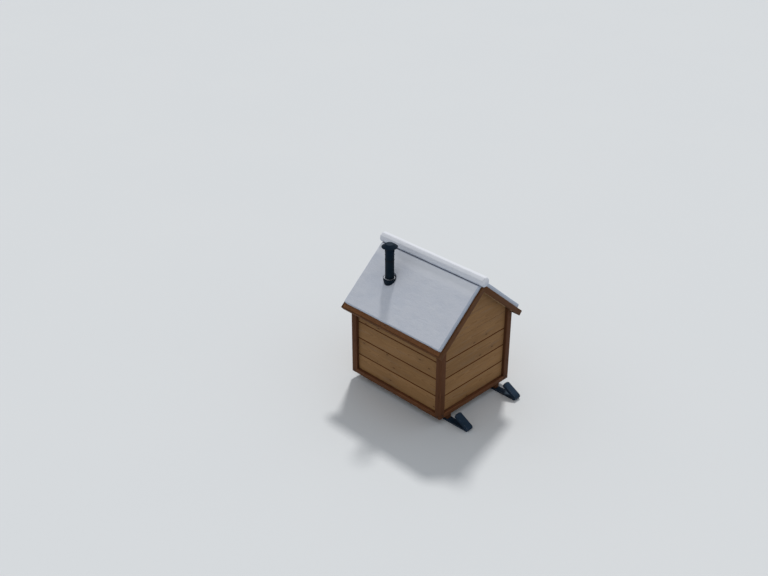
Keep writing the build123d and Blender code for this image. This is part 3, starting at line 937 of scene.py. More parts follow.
def wall_nails():
    """Two nails in each board at each post and stud, on every wall."""
    edges = (SILL_TOP, *BOARD_JOINTS, SIDE_NAILS_TOP)
    rows = [z for low, high in zip(edges, edges[1:]) for z in (low + NAIL_FROM_JOINT, high - NAIL_FROM_JOINT)]
    for side_name, side in SIDES.items():
        shape = Shape("wall_nails_" + side_name, "black_ironwork")
        points = []
        for x in studs(BAY_X):
            for z in rows:
                astray = Vector((shape.chance.uniform(-0.004, 0.004), 0, shape.chance.uniform(-0.005, 0.005)))
                points.append(Vector((x, side * (WALL_FACE_Y + NAIL_SEAT), z)) + astray)
        nail_row(points, shape, Vector((0, side, 0)))
        shape.piece()

    doorway_top = corner("wall_over_door", 0).z + NAIL_FROM_DOORWAY
    doorway_half = corner("wall_over_door", 1).y + NAIL_FROM_DOORWAY
    seam_rows = [seam + step for seam in GABLE_SEAMS for step in (-NAIL_FROM_SEAM, NAIL_FROM_SEAM)]
    for end_name, end in ENDS.items():
        shape = Shape("wall_nails_" + end_name, "black_ironwork")
        points = []
        for y in studs(BAY_Y):
            for z in rows[:-1] + seam_rows:
                under_roof = APEX - abs(y) * SLOPE_RISE - z > NAIL_FROM_ROOF
                in_doorway = end_name == "door_end" and abs(y) < doorway_half and z < doorway_top
                if under_roof and not in_doorway:
                    astray = shape.chance.uniform(-0.004, 0.004)
                    points.append(Vector((end * (WALL_FACE_X + NAIL_SEAT), y + astray, z)))
        nail_row(points, shape, Vector((end, 0, 0)))
        shape.piece()


# Timber frame and roof timbers


def on_slope(side, x, s, h):
    """The point x along the ridge, s down a slope from the apex and h above the roof's underside."""
    y = s * math.cos(ROOF_PITCH) + h * math.sin(ROOF_PITCH)
    z = APEX - s * math.sin(ROOF_PITCH) + h * math.cos(ROOF_PITCH)
    return Vector((x, side * y, z))


def dress(kind, where, grain):
    """Makes a timber of one of the kinds in ARRISES, named by its kind and where it stands."""
    carved(kind + where, grain, ARRISES[kind], STAIN_AND_PAINTED_LIGHT_TONES.get(kind, 1.0))


def frame_timbers():
    along, across, up = (1, 0, 0), (0, 1, 0), (0, 0, 1)
    for side_name, side in SIDES.items():
        down_slope = (0, side * math.cos(ROOF_PITCH), -math.sin(ROOF_PITCH))
        for end_name in ENDS:
            dress("corner_post", "_" + end_name + "_" + side_name, up)
            dress("barge_board", "_" + end_name + "_" + side_name, down_slope)
        for kind in ("sill", "eave_fascia", "wall_plate", "rafters", "skid_beam"):
            dress(kind, "_" + side_name, down_slope if kind == "rafters" else along)
    for end_name in ENDS:
        dress("sill", "_" + end_name, across)
    dress("ridge_beam", "", along)
    dress("middle_tie", "", across)
    dress("well_frame", "", across)
    dress("door_frame", "", up)


def frame_fixings():
    """Bolts through the posts into the sills, and nail pairs along the barge boards."""
    for end_name, end in ENDS.items():
        for side_name, side in SIDES.items():
            shape = Shape("fixings_" + end_name + "_" + side_name, "black_ironwork")
            low = corner("corner_post_" + end_name + "_" + side_name, 0)
            high = corner("corner_post_" + end_name + "_" + side_name, 1)
            middle = (low + high) / 2
            outer_x = end * max(abs(low.x), abs(high.x))
            outer_y = side * max(abs(low.y), abs(high.y))
            level = SILL_TOP - SILL_BOLT_DROP
            hexagon_bolt(shape, Vector((middle.x, outer_y, level)), Vector((0, side, 0)), SILL_BOLT_RADIUS)
            hexagon_bolt(shape, Vector((outer_x, middle.y, level + SILL_BOLT_STEP)), Vector((end, 0, 0)),
                         SILL_BOLT_RADIUS)
            nails = []
            for k in range(5):
                s = 0.14 + (SLOPE_LENGTH - 0.24) * k / 4
                for h in (NAIL_FROM_BARGE_EDGE, DECK_TOP - NAIL_FROM_BARGE_EDGE):
                    astray = shape.chance.uniform(-0.006, 0.006)
                    nails.append(on_slope(side, end * (ROOF_HALF + NAIL_SEAT), s + astray, h))
            nail_row(nails, shape, Vector((end, 0, 0)))
            shape.piece(crease=25)


def deck_boards():
    """The boards under the snow, along the ridge, on both slopes."""
    start = -DECK_TOP * math.tan(ROOF_PITCH)
    width = (DECK_END - start) / DECK_BOARDS
    for side_name, side in SIDES.items():
        shape = Shape("deck_boards_" + side_name, SLOT_OF["roof_deck_" + side_name])

        def place(run, a, d, side=side):
            return on_slope(side, run, a, DECK_TOP - d)

        for i in range(DECK_BOARDS):
            low = start + i * width + DECK_BOARD_GAP / 2
            high = start + (i + 1) * width - DECK_BOARD_GAP / 2
            outline = plank(low, high, DECK_THICKNESS, SAWN_ARRIS)
            shape.stick(outline, -DECK_HALF + 0.0005, DECK_HALF - 0.0005, 12, place, DECK_PAINTED_LIGHT_TONE)
        clip(shape, Vector((0, side * HAIR_GAP, 0)), Vector((0, -side, 0)))
        made = shape.piece(["roof_deck_" + side_name])
        if side_name == "flue_side":
            hole = PIPE_RADIUS + DECK_HOLE_GAP
            bored(made, drum([(hole, FLUE_BOTTOM), (hole, COLLAR_TOP)]))


# Snow


def steps_from_edge(length, edge, pitch):
    """Distances across a sheet that lie close together near both of its edges."""
    close = [edge * (1 - math.cos(angle)) for angle in arc(0, math.pi / 2, SNOW_EDGE_STEPS)]
    count = max(2, round((length - 2 * edge) / pitch))
    middle = [edge + (length - 2 * edge) * k / count for k in range(1, count)]
    return close + middle + [length - d for d in reversed(close)]


def rounded_edge(distance, reach, power=2.5):
    """How full the snow is at a distance in from its edge, from 0 to 1."""
    return (1 - (1 - share_of(distance, reach)) ** power) ** (1 / power)


def roll_edge(h):
    """How far down a slope the roll along the ridge reaches, h above the roof's underside."""
    axis_s = -(ROLL_AXIS - APEX) * math.sin(ROOF_PITCH)
    axis_h = (ROLL_AXIS - APEX) * math.cos(ROOF_PITCH)
    return axis_s + math.sqrt(max((ROLL_RADIUS + ROLL_GAP) ** 2 - (h - axis_h) ** 2, 0.0))


SNOW_TOP = DECK_TOP + SNOW_DEPTH
SNOW_START = roll_edge(SNOW_TOP)
SNOW_END = SLOPE_LENGTH - SNOW_EAVE_SETBACK
FLUE_S = abs(FLUE.y) / math.cos(ROOF_PITCH) - SNOW_TOP * math.tan(ROOF_PITCH)


def round_corner(from_end, from_eave):
    """Distances in from the end and the eave edge, moved in where the snow's lower corners are round."""
    p, q = 1 - from_end / SNOW_CORNER, 1 - from_eave / SNOW_CORNER
    if min(p, q) <= 0:
        return from_end, from_eave
    angle = math.pi / 4 * (q / p if p >= q else 2 - p / q)
    reach = SNOW_CORNER * max(p, q)
    return SNOW_CORNER - reach * math.cos(angle), SNOW_CORNER - reach * math.sin(angle)


def lee_side(x, s):
    """What the lee side has of its own: the depth of the bank under the flue, and a tone painted light in a
    strip under the roll, against its cast shadow, and painted shade at the roll's foot.
    """
    away = math.hypot(x - FLUE.x, (s - FLUE_S) * math.cos(ROOF_PITCH))
    bank = math.exp(-(max(away - COLLAR_RADIUS, 0.0) / BANK_REACH) ** 2)
    downhill = share_of(s - FLUE_S, COLLAR_RADIUS)
    # Painted light under the roll, against its cast shadow, and painted shade at its foot
    painted_light_and_shade = (1 + share_of(LEE_PAINTED_LIGHT_REACH - s, LEE_PAINTED_LIGHT_FADE)) * share_of(s - SNOW_START, LEE_PAINTED_SHADE_REACH)
    return BANK_HEIGHT * bank * downhill, painted_light_and_shade


def snow_blanket(side_name, side):
    """Packed snow on one slope: crumbling edges and a wind-worn top.

    The flue side is the lee side, with a low bank under the flue, painted light in a strip under the ridge
    against the roll's shadow, and painted shade at the roll's foot."""
    shape = Shape("snow_" + side_name, "packed_snow")
    length = SNOW_END - SNOW_START
    columns = steps_from_edge(2 * SNOW_HALF, SNOW_CORNER, SNOW_GRID)
    rows = steps_from_edge(length, SNOW_CORNER, SNOW_GRID)[:-SNOW_EDGE_STEPS]

    def top_point(from_left, from_ridge):
        end = 1 if from_left > SNOW_HALF else -1
        from_end = min(from_left, 2 * SNOW_HALF - from_left)
        from_eave = length - from_ridge
        dx, ds = round_corner(from_end, from_eave)
        x, s = end * (SNOW_HALF - dx), SNOW_END - ds
        distance = min(from_end, from_eave)
        ragged = noise.noise(Vector((x * 3.1, s * 3.1, side * 4.0))) * 0.0045
        ragged += noise.noise(Vector((x * 14, s * 14, side * 9.0))) * 0.0025
        crumbled = (ragged - SNOW_WANDER) * (1 - share_of(distance, CRUMBLE_REACH))
        if from_end <= from_eave:
            x += end * crumbled
        else:
            s += crumbled
        drift = noise.noise(Vector((x * 1.1, s * 1.6, side * 2.0))) * 0.0040
        drift += noise.noise(Vector((x * 5.0, s * 7.0, side * 3.0))) * 0.0014
        depth = (SNOW_DEPTH - SNOW_WANDER + drift) * rounded_edge(distance, SNOW_EDGE)
        # Darker at the rim: icy snow, and painted shade on the rounded edge
        tone = share_of(distance - ICE_AND_SHADE_RIM, ICE_AND_SHADE_RIM_FADE)
        if side_name == "flue_side":
            bank, painted_light_and_shade = lee_side(x, s)
            depth += bank
            tone *= painted_light_and_shade
        return shape.point(on_slope(side, x, s, DECK_TOP + max(depth, 0.0)), tone=tone)

    grid = [[top_point(across, length - d) for d in reversed(rows)] for across in columns]
    shape.loft(grid, closed_round=False, caps=False)
    upper = [column[0] for column in grid]
    lower = [column[-1] for column in grid]
    foot_s = roll_edge(DECK_TOP)
    foot = [shape.point(on_slope(side, vert.co.x - HUT_MIDDLE.x, foot_s, DECK_TOP)) for vert in upper]
    shape.loft([upper, foot], closed_round=False, caps=False)
    shape.bm.faces.new(grid[0][:-1] + lower + grid[-1][-2::-1] + foot[::-1])
    bmesh.ops.remove_doubles(shape.bm, verts=shape.bm.verts, dist=1e-6)
    made = shape.piece(["snow_blanket_" + side_name], crease=55)
    if side_name == "flue_side":
        bowl = collar_bowl(FLUE_FIT, COLLAR_TOP)
        bored(made, drum([(bowl[0][0], FLUE_BOTTOM), *bowl, (bowl[-1][0], APEX + 0.5)]), keep_marks=False)


def roll_side(angle):
    """How deep the roll's flat is at an angle round it, as a share of the radius, and the snow's tone."""
    up = math.sin(angle)
    flat = 2 * math.pi / ROLL_FLATS
    from_middle = (angle - ROLL_FLAT_TURN) % flat - flat / 2
    dent = ROLL_FLATNESS * (1 - math.cos(flat / 2) / math.cos(from_middle))
    dent *= share_of(up + ROLL_FLATS_FADE, ROLL_FLATS_FADE)
    # The tone is painted lighter on top and darker at the foot, for the light and shade that fall there
    tone = ROLL_TONE + ROLL_TOP_PAINTED_LIGHT * share_of(up - 0.35, 0.3)
    return dent, tone - ROLL_FOOT_PAINTED_SHADE * share_of(-up - 0.15, 0.3)


def ridge_roll():
    """The roll of snow along the ridge, patted to soft flats, with eased ends and an uneven top."""
    shape = Shape("snow_ridge_roll_packed", "packed_snow")
    rings = []
    for stop in steps_from_edge(2 * ROLL_HALF, ROLL_EDGE, ROLL_PITCH):
        x = stop - ROLL_HALF
        from_end = min(stop, 2 * ROLL_HALF - stop)
        shrink = (1 - rounded_edge(from_end, ROLL_EDGE, 2.0)) * ROLL_EDGE
        ring = []
        for angle in circle(ROLL_SIDES):
            across, up = math.cos(angle), math.sin(angle)
            lumpy = noise.noise(Vector((x * 2.2, across * 0.8, up * 0.8))) * 0.0030
            lumpy += noise.noise(Vector((x * 8.0, across * 2, up * 2 + 7))) * 0.0016
            dent, tone = roll_side(angle)
            radius = (ROLL_RADIUS - ROLL_WANDER - shrink) * (1 - dent) + lumpy
            ring.append(shape.point((x, radius * across, ROLL_AXIS + radius * up), tone=tone))
        rings.append(ring)
    shape.loft(rings)
    made = shape.piece(["snow_ridge_roll"], crease=50)
    peak = APEX + DECK_TOP / math.cos(ROOF_PITCH) + 0.0002
    reach = 2 * ROLL_RADIUS
    wedge = [(0, peak), (reach, peak - reach * SLOPE_RISE), (-reach, peak - reach * SLOPE_RISE)]
    bored(made, prism(wedge, -ROOF_HALF, ROOF_HALF), keep_marks=False)


# Flue


def turned(shape, profile, centre, worn=(), sides=ROUND):
    """Turns a closed (radius, height) outline round an upright axis. Edges listed in worn are marked."""
    rings = []
    for radius, z in profile:
        # A point on the axis stands for its whole ring
        ring = [shape.point((centre.x + radius * math.cos(t), centre.y + radius * math.sin(t), z))
                for t in circle(sides if radius > 1e-6 else 1)]
        rings.append(ring * (sides // len(ring)))
    for i, (first, second) in enumerate(zip(rings, rings[1:] + rings[:1])):
        for k in range(sides):
            n = (k + 1) % sides
            corners = list(dict.fromkeys((first[k], first[n], second[n], second[k])))
            if len(corners) > 2:
                shape.bm.faces.new(corners)[shape.worn] = float(i in worn)


def bead(z):
    """A half-round swelling on the pipe, as (radius, height) points going up."""
    return [(PIPE_RADIUS - BEAD_SINK + PIPE_BEAD * math.cos(t), z + PIPE_BEAD * math.sin(t))
            for t in arc(-math.pi / 2, math.pi / 2, 6)]


def pipe_seam(shape, low, high, radius):
    """One length of the pipe's locked seam, folded flat on the pipe's side."""
    section = ((-1, -SEAM_SINK), (-1, SEAM_RISE * 0.7), (-0.5, SEAM_RISE), (1, SEAM_RISE), (1, -SEAM_SINK))
    shape.skin([[beside_flue(radius + lift, SEAM_ANGLE + swing * SEAM_HALF / radius, z)
                 for swing, lift in section] for z in (low, high)])


def flue_pipe():
    """Two lengths of pipe, the upper slipped over the lower, with swaged beads and a locked seam."""
    shape = Shape("flue_pipe_swaged", "flue_steel")
    slipped = PIPE_RADIUS - PIPE_SLIP
    joint = COLLAR_TOP + PIPE_JOINT_RISE
    low_bead = joint + LOW_BEAD_RISE
    top_bead = FLUE_TOP - TOP_BEAD_DROP
    outer = [(slipped, FLUE_BOTTOM), (slipped, joint - 0.0015), (PIPE_RADIUS, joint)]
    outer += bead(low_bead) + bead(top_bead)
    outer += [(PIPE_RADIUS, FLUE_TOP - THIN_EDGE), (PIPE_RADIUS - THIN_EDGE, FLUE_TOP)]
    inner = [(PIPE_RADIUS - SHEET, FLUE_TOP), (PIPE_RADIUS - SHEET, FLUE_BOTTOM)]
    turned(shape, outer + inner, FLUE, worn=(1, 2, len(outer) + 1))
    pipe_seam(shape, COLLAR_TOP + 0.002, joint - 0.002, slipped)
    pipe_seam(shape, low_bead + SEAM_FROM_BEAD, top_bead - SEAM_FROM_BEAD, PIPE_RADIUS)
    pipe_seam(shape, top_bead + SEAM_FROM_BEAD, FLUE_TOP - SEAM_FROM_TOP, PIPE_RADIUS)
    shape.piece(["flue_pipe"])


def arc_through(first, middle, last, steps):
    """Points along the round curve from first through middle to last."""
    (ax, ay), (bx, by), (cx, cy) = first, middle, last
    twice = 2 * (ax * (by - cy) + bx * (cy - ay) + cx * (ay - by))
    a, b, c = ax * ax + ay * ay, bx * bx + by * by, cx * cx + cy * cy
    centre = Vector(((a * (by - cy) + b * (cy - ay) + c * (ay - by)) / twice,
                     (a * (cx - bx) + b * (ax - cx) + c * (bx - ax)) / twice))
    start, end = Vector(first) - centre, Vector(last) - centre
    points = []
    for turn in arc(0, start.angle_signed(end), steps):
        points.append((centre.x + start.x * math.cos(turn) + start.y * math.sin(turn),
                       centre.y - start.x * math.sin(turn) + start.y * math.cos(turn)))
    return points


def collar_bowl(outset, top):
    """The collar's bowl in section, grown by outset: (radius, height) points from its foot up to top."""
    foot = (COLLAR_FOOT_RADIUS + outset, COLLAR_TOP - COLLAR_DEPTH)
    belly = (COLLAR_BELLY_RADIUS + outset, COLLAR_TOP - COLLAR_DEPTH / 2)
    return arc_through(foot, belly, (COLLAR_RADIUS + outset, top), COLLAR_STEPS)


def flue_collar():
    """The bowl round the pipe's foot, with a rolled rim, a sunk tray and its foot cut to the slope."""
    shape = Shape("flue_collar_spun", "flue_steel")
    low = COLLAR_TOP - COLLAR_REACH_DOWN
    lip = COLLAR_TOP - COLLAR_LIP
    tray = COLLAR_TOP - COLLAR_TRAY_DROP
    bore = PIPE_RADIUS + FLUE_FIT
    rim_radius, rim_level = COLLAR_RADIUS - COLLAR_ROLL, COLLAR_TOP - COLLAR_ROLL
    outer = collar_bowl(-COLLAR_INSET, COLLAR_TOP - 2 * COLLAR_ROLL - THIN_EDGE)
    rim = [(rim_radius + COLLAR_ROLL * math.cos(t), rim_level + COLLAR_ROLL * math.sin(t))
           for t in arc(-math.pi / 2, math.pi / 2, 8)]
    lid = [(rim_radius - SHEET, lip), (rim_radius - SHEET, tray), (bore + SHEET, tray), (bore + SHEET, lip),
           (bore, lip), (bore, tray - SHEET), (rim_radius - 2 * SHEET, tray - SHEET)]
    inner = [point for point in reversed(collar_bowl(-SHEET, COLLAR_TOP)) if point[1] < tray - 2 * SHEET]
    profile = [(outer[0][0], low), *outer, *rim, *lid, *inner, (inner[-1][0], low)]
    rim_start = 1 + len(outer)
    turned(shape, profile, FLUE, worn=range(rim_start, rim_start + len(rim)))
    side = SIDES["flue_side"]
    into_roof = Vector((0, -side * math.sin(ROOF_PITCH), -math.cos(ROOF_PITCH)))
    clip(shape, on_slope(side, 0, 0, DECK_TOP + HAIR_GAP), into_roof)
    shape.piece(["flue_collar"])


def collar_snow():
    """The snow caught in the collar's tray, thick on the weather side and thin at the front."""
    shape = Shape("snow_in_collar", "packed_snow")
    inner = PIPE_RADIUS + 0.004
    full_width = COLLAR_RADIUS - 0.009 - inner
    base = COLLAR_TOP - COLLAR_TRAY_DROP + 0.0002
    section = [(0, 0), (1, 0)]
    section += [(0.5 + 0.5 * math.cos(t), math.sin(t)) for t in (0.35, 0.8, 1.3, 1.8, 2.3, 2.8)]
    rings = []
    for angle in circle(ROUND):
        lumps = 0.52 - 0.44 * math.cos(angle)
        lumps += 0.20 * noise.noise(Vector((math.cos(angle) * 1.7, math.sin(angle) * 1.7, 3.0)))
        lumps = max(lumps, 0.06)
        width, height = full_width * share_of(lumps, 0.45), TRAY_SNOW_HEIGHT * lumps
        rings.append([shape.point(beside_flue(inner + width * share, angle, base + height * lift))
                      for share, lift in section])
    shape.loft(rings + rings[:1], caps=False)
    shape.piece(crease=60)


CAP_RIM = CAP_TOP - CAP_HEIGHT
CAP_SLOPE = CAP_HEIGHT / (CAP_RADIUS - CAP_TOP_RADIUS)
BAND_LOW = CAP_RIM - CAP_BAND_DROP
BAND_RADIUS = PIPE_RADIUS + CAP_BAND_GAP + SHEET


def cap_cone(shape):
    """The low cone, with a flat top and a hemmed rim."""
    over = [(0.0, CAP_TOP), (CAP_TOP_RADIUS - CAP_KNEE, CAP_TOP), (CAP_TOP_RADIUS, CAP_TOP - CAP_KNEE * 0.18),
            (CAP_TOP_RADIUS + CAP_KNEE, CAP_TOP - CAP_KNEE * CAP_SLOPE)]
    hem = [(CAP_RADIUS - CAP_HEM + CAP_HEM * math.cos(t), CAP_RIM + CAP_HEM + CAP_HEM * math.sin(t))
           for t in arc(0.35 * math.pi, -0.75 * math.pi, 7)]
    under = [(CAP_RADIUS - 2 * CAP_HEM - THIN_EDGE, CAP_RIM + CAP_HEM),
             (CAP_TOP_RADIUS, CAP_TOP - SHEET - THIN_EDGE), (0.0, CAP_TOP - SHEET)]
    turned(shape, over + hem + under, FLUE, worn=range(len(over), len(over) + len(hem)))


def cap_band(shape):
    """The band that clasps the pipe under the cone."""
    inner, edge = PIPE_RADIUS + CAP_BAND_GAP, BAND_RADIUS - THIN_EDGE
    high = BAND_LOW + CAP_BAND_HEIGHT
    outline = [(inner, BAND_LOW), (edge, BAND_LOW), (BAND_RADIUS, BAND_LOW + THIN_EDGE),
               (BAND_RADIUS, high - THIN_EDGE), (edge, high), (inner, high)]
    turned(shape, outline, FLUE, worn=(1, 3))


def cap_strap(shape, middle):
    """A strap from the band up to the cone, with its screw, at an angle round the flue."""
    section = ((-1, 0.0002), (0, 0.0002), (1, 0.0002), (1, 0.0024), (0, 0.0028), (-1, 0.0024))
    top = CAP_RIM + (CAP_RADIUS - SHEET - BAND_RADIUS) * CAP_SLOPE
    shape.skin([[beside_flue(BAND_RADIUS + lift, middle + swing * CAP_STRAP_HALF, z)
                 for swing, lift in section] for z in (BAND_LOW + 0.002, top)])
    screw = beside_flue(BAND_RADIUS + 0.0026, middle, BAND_LOW + CAP_BAND_HEIGHT / 2)
    nail_row([screw], shape, Vector((math.cos(middle), math.sin(middle), 0)), 0.005, 0.0025)


def rain_cap():
    """The cone over the pipe's mouth, on a band and three straps."""
    shape = Shape("rain_cap_spun", "flue_steel")
    cap_cone(shape)
    cap_band(shape)
    for angle in circle(CAP_STRAPS):
        cap_strap(shape, CAP_STRAP_TURN + angle)
    shape.piece(["rain_cap"])


# Runners


def round_the_leg(bm):
    """Rounds the two corners, seen along its thickness, at the end of a runner's leg that turns back."""
    low, high = min(vert.co.y for vert in bm.verts), max(vert.co.y for vert in bm.verts)
    middle, half = (low + high) / 2, (high - low) / 2
    down = Vector((math.cos(LEG_ANGLE), 0, -math.sin(LEG_ANGLE)))
    end = min(vert.co.dot(down) for vert in bm.verts if vert.co.z > LEG_LOW)
    for angle in arc(0, math.pi / 2, LEG_END_STEPS)[1:]:
        cut = down * (end + LEG_END_RADIUS * (1 - math.cos(angle)))
        geometry = bm.verts[:] + bm.edges[:] + bm.faces[:]
        bmesh.ops.bisect_plane(bm, geom=geometry, dist=1e-6, plane_co=cut, plane_no=down)
    for vert in bm.verts:
        from_end = vert.co.dot(down) - end
        if vert.co.z > LEG_LOW and from_end < LEG_END_RADIUS:
            from_centre = LEG_END_RADIUS - from_end
            limit = half - LEG_END_RADIUS + math.sqrt(max(LEG_END_RADIUS ** 2 - from_centre ** 2, 0.0))
            across = vert.co.y - middle
            vert.co.y = middle + math.copysign(min(abs(across), limit), across)


def runners():
    """The sled runners, with their arrises dressed, and the bolts that hold them to the skid beams."""
    for side_name in SIDES:
        node = "runner_" + side_name
        carved(node, (1, 0, 0), RUNNER_ARRIS, segments=4, trim=round_the_leg)
        shape = Shape("runner_bolts_" + side_name, "black_ironwork")
        middle = (corner(node, 0).y + corner(node, 1).y) / 2
        for x in RUNNER_BOLTS_X:
            for y in (middle - RUNNER_BOLT_OUT, middle + RUNNER_BOLT_OUT):
                hexagon_bolt(shape, Vector((x, y, SHOE_TOP)), Vector((0, 0, 1)), RUNNER_BOLT_RADIUS)
        shape.piece(crease=25)


# Floor


def floor_boards():
    """Boards across the hut, cut round the fishing well."""
    shape = Shape("floor_boards", "sawn_timber")
    low, high = corner("floor", 0), corner("floor", 1)
    width = (high.x - low.x) / FLOOR_BOARDS

    def place(run, a, d):
        return Vector((a, run, high.z - d))

    for i in range(FLOOR_BOARDS):
        start = low.x + i * width + FLOOR_BOARD_GAP / 2
        outline = plank(start, start + width - FLOOR_BOARD_GAP, high.z - low.z, SAWN_ARRIS)
        shape.stick(outline, low.y + BOARD_END_GAP, high.y - BOARD_END_GAP, 12, place)
    made = shape.piece(["floor"])
    under = (-WELL_HALF_X, -WELL_HALF_Y, low.z - 0.05)
    over = (WELL_HALF_X, WELL_HALF_Y, high.z + 0.05)
    bored(made, crate(under, over))


# Door

LEAF_LOW = corner("door_leaf", 0)
LEAF_HIGH = corner("door_leaf", 1)
PLANK_WIDTH = (LEAF_HIGH.y - LEAF_LOW.y) / LEAF_PLANKS
LEDGE_LEVELS = (LEAF_LOW.z + LEDGE_FROM_END, LEAF_HIGH.z - LEDGE_FROM_END)
OUT_OF_DOOR = Vector((-1, 0, 0))


def door_leaf():
    """Upright planks with eased joints, on two ledges."""
    shape = Shape("door_planks", "door_boards")
    for i in range(LEAF_PLANKS):
        start = LEAF_LOW.y + i * PLANK_WIDTH + PLANK_GAP / 2
        cup = shape.chance.uniform(0.0002, 0.0009)

        def place(run, a, d):
            bow = cup * (2 * (a - start) / PLANK_WIDTH - 1) ** 2 * (1 - min(d / LEAF_THICKNESS, 1))
            return Vector((LEAF_LOW.x + d + bow, a, run))

        outline = plank(start, start + PLANK_WIDTH - PLANK_GAP, LEAF_THICKNESS, LEAF_ARRIS)
        shape.stick(spread(outline, 0.04), LEAF_LOW.z, LEAF_HIGH.z, 14, place)

    def behind(run, a, d):
        return Vector((LEAF_LOW.x + LEAF_THICKNESS + HAIR_GAP + d, run, a))

    for level in LEDGE_LEVELS:
        low, high = level - LEDGE_HALF, level + LEDGE_HALF
        corners = [(low, LEDGE_THICKNESS, 0.004), (low, 0, 0), (high, 0, 0), (high, LEDGE_THICKNESS, 0.004)]
        shape.stick(eased(corners), LEAF_LOW.y + LEDGE_INSET, LEAF_HIGH.y - LEDGE_INSET, 4, behind)
    shape.piece(["door_leaf"])


def strap(shape, pin, level):
    """A hinge's strap along the door: tapered, with a spear end and chamfered edges."""
    tip, half = pin - HINGE_LENGTH, HINGE_HEIGHT / 2
    upper = [(pin, half), (pin - 0.05, half), (tip + 0.075, half * 0.58), (tip + 0.055, half * 0.95),
             (tip + 0.025, half * 0.6)]
    outline = [(pin, -half), *upper, (tip, 0.0)] + [(y, -z) for y, z in reversed(upper[1:])]
    rings = []
    chamfer_foot = HINGE_THICKNESS - HINGE_CHAMFER
    for depth, inset in ((0.0, 0.0), (chamfer_foot, 0.0), (HINGE_THICKNESS, HINGE_CHAMFER)):
        ring = []
        for y, z in outline:
            inward = Vector((((pin + tip) / 2 - y) * 0.1, -z)).normalized() * inset
            ring.append((LEAF_LOW.x - depth, y + inward.x, level + z + inward.y))
        rings.append(ring)
    shape.skin(rings)


def knuckle(shape, x, y, low, high):
    """Three rolled knuckles on one pin with domed ends."""
    step = (high - low) / 3
    edge = KNUCKLE_RADIUS - THIN_EDGE
    for i in range(3):
        start, end = low + i * step + 0.0004, low + (i + 1) * step - 0.0004
        outline = [(0.0, start), (edge, start), (KNUCKLE_RADIUS, start + THIN_EDGE),
                   (KNUCKLE_RADIUS, end - THIN_EDGE), (edge, end), (0.0, end)]
        turned(shape, outline, Vector((x, y, 0)), sides=32)


def strap_hinges():
    """Two long straps, each with its knuckles, the leaf that joins them and three domed bolts."""
    shape = Shape("strap_hinges_forged", "black_ironwork")
    face, half = LEAF_LOW.x, HINGE_HEIGHT / 2
    pin_x, pin_y = face - KNUCKLE_OUT, corner("strap_hinges", 1).y - KNUCKLE_RADIUS
    for level in LEDGE_LEVELS:
        strap(shape, pin_y, level)
        knuckle(shape, pin_x, pin_y, level - half, level + half)
        leaf = [(face, -half), (face, half), (pin_x, half), (pin_x, -half)]
        shape.skin([[(x, y, level + z) for x, z in leaf] for y in (pin_y - 0.005, pin_y)])
        bolts = [Vector((face - HINGE_THICKNESS, pin_y - d, level)) for d in HINGE_BOLTS]
        nail_row(bolts, shape, OUT_OF_DOOR, HINGE_BOLT_RADIUS, HINGE_BOLT_RISE)
    shape.piece(["strap_hinges"])


def bow_path(reach, low, high):
    """The handle's run from its low foot out, up and back to its high foot: (out, height) points."""
    path = [(0.0, low)]
    for angle in arc(0, math.pi / 2, 8):
        out = reach - HANDLE_BEND + HANDLE_BEND * math.sin(angle)
        path.append((out, low + HANDLE_BEND - HANDLE_BEND * math.cos(angle)))
    return path + [(out, low + high - z) for out, z in reversed(path)]


def door_handle():
    """A round bow handle on a plate with four screws."""
    shape = Shape("door_handle_bow", "black_ironwork")
    low, high = corner("door_handle", 0), corner("door_handle", 1)
    middle = (low.y + high.y) / 2
    plate_x = high.x - HANDLE_PLATE
    corners = ((low.y, low.z), (low.y, high.z), (high.y, high.z), (high.y, low.z))
    outline = eased([(y, z, 0.006) for y, z in corners])
    shape.skin([[(high.x - depth, middle + (y - middle) * inset, z) for y, z in outline]
                for depth, inset in ((0.0, 1.0), (0.003, 1.0), (HANDLE_PLATE, 0.95))])

    radius = HANDLE_BAR / 2
    path = bow_path(plate_x - low.x - radius, low.z + HANDLE_BAR, high.z - HANDLE_BAR)
    rings = []
    for before, (out, z), after in zip(path[:1] + path, path, path[1:] + path[-1:]):
        along = Vector((after[0] - before[0], after[1] - before[1])).normalized()
        ring = []
        for angle in circle(HANDLE_SIDES):
            lift = radius * math.cos(angle)
            y = middle + radius * math.sin(angle)
            ring.append((plate_x - out - lift * along.y, y, z + lift * along.x))
        rings.append(ring)
    shape.skin(rings)

    levels = (low.z + 0.007, high.z - 0.007)
    screws = [Vector((plate_x, middle + across, z)) for across in (-0.012, 0.012) for z in levels]
    nail_row(screws, shape, OUT_OF_DOOR, 0.003, 0.0012)
    shape.piece(["door_handle"])


def door_nails():
    """Clenched nails along the door's two ledges."""
    shape = Shape("door_nails", "black_ironwork")
    points = []
    for i in range(LEAF_PLANKS):
        for share in (0.27, 0.73):
            y = LEAF_LOW.y + (i + share) * PLANK_WIDTH
            for level in LEDGE_LEVELS:
                points += [Vector((LEAF_LOW.x - NAIL_SEAT, y, level + lift)) for lift in (-0.038, 0.038)]
    nail_row(points, shape, OUT_OF_DOOR)
    shape.piece()


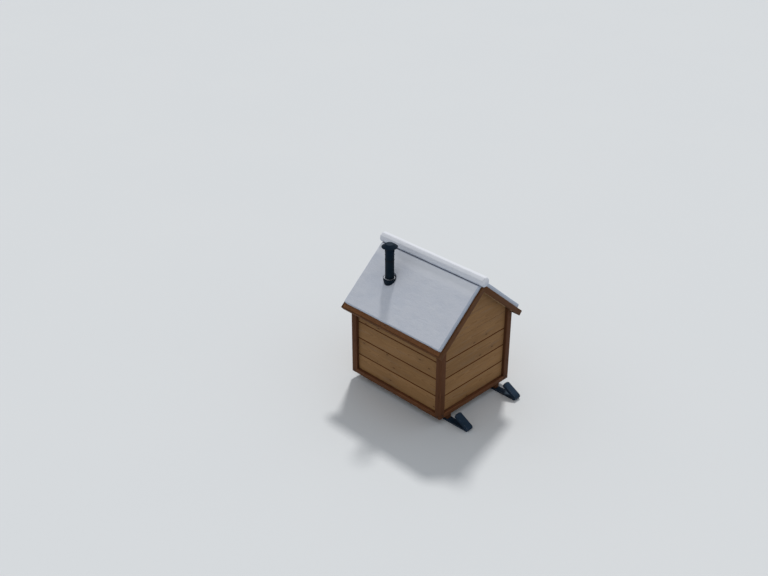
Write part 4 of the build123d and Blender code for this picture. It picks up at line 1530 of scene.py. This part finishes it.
# Camera, floor and light


def camera():
    """The photograph's viewpoint: high, on the diagonal over the corner of the flue side and blank end."""
    lens = bpy.data.cameras.new("viewpoint")
    lens.lens = 50.0
    lens.sensor_width = 36.0
    lens.clip_end = 300.0
    seat = bpy.data.objects.new("viewpoint", lens)
    seat.location = VIEWPOINT + HUT_MIDDLE
    seat.rotation_euler = (math.radians(90 - VIEW_DOWN), 0.0, math.radians(VIEW_TURN))
    bpy.context.scene.collection.objects.link(seat)
    bpy.context.scene.camera = seat


def studio():
    """A wide pale floor, an even sky and one broad soft lamp from behind the ridge."""
    reach = 120.0
    mesh = bpy.data.meshes.new("studio_floor")
    corners = [(-reach, -reach, 0), (reach, -reach, 0), (reach, reach, 0), (-reach, reach, 0)]
    mesh.from_pydata(corners, [], [(0, 1, 2, 3)])
    mesh.materials.append(pale_floor())
    ground = bpy.data.objects.new("studio_floor", mesh)
    bpy.context.scene.collection.objects.link(ground)

    world = bpy.data.worlds.new("studio")
    world.use_nodes = True
    sky = world.node_tree.nodes["Background"]
    sky.inputs["Color"].default_value = (0.94, 0.97, 1.0, 1.0)
    sky.inputs["Strength"].default_value = 0.50
    bpy.context.scene.world = world

    lamp = bpy.data.lights.new("key", "SUN")
    lamp.energy = 1.75
    lamp.angle = math.radians(7)
    lamp.color = (1.0, 0.97, 0.93)
    key = bpy.data.objects.new("key", lamp)
    height, bearing = math.radians(50.5), math.radians(-56)
    level = math.cos(height)
    travel = Vector((math.cos(bearing) * level, math.sin(bearing) * level, -math.sin(height)))
    key.rotation_euler = travel.to_track_quat("-Z", "Y").to_euler()
    bpy.context.scene.collection.objects.link(key)

    bpy.context.scene.view_settings.view_transform = "Standard"


camera()
studio()
side_walls()
end_walls()
wall_nails()
frame_timbers()
frame_fixings()
deck_boards()
for side_name, side in SIDES.items():
    snow_blanket(side_name, side)
ridge_roll()
flue_pipe()
flue_collar()
collar_snow()
rain_cap()
runners()
floor_boards()
door_leaf()
strap_hinges()
door_handle()
door_nails()
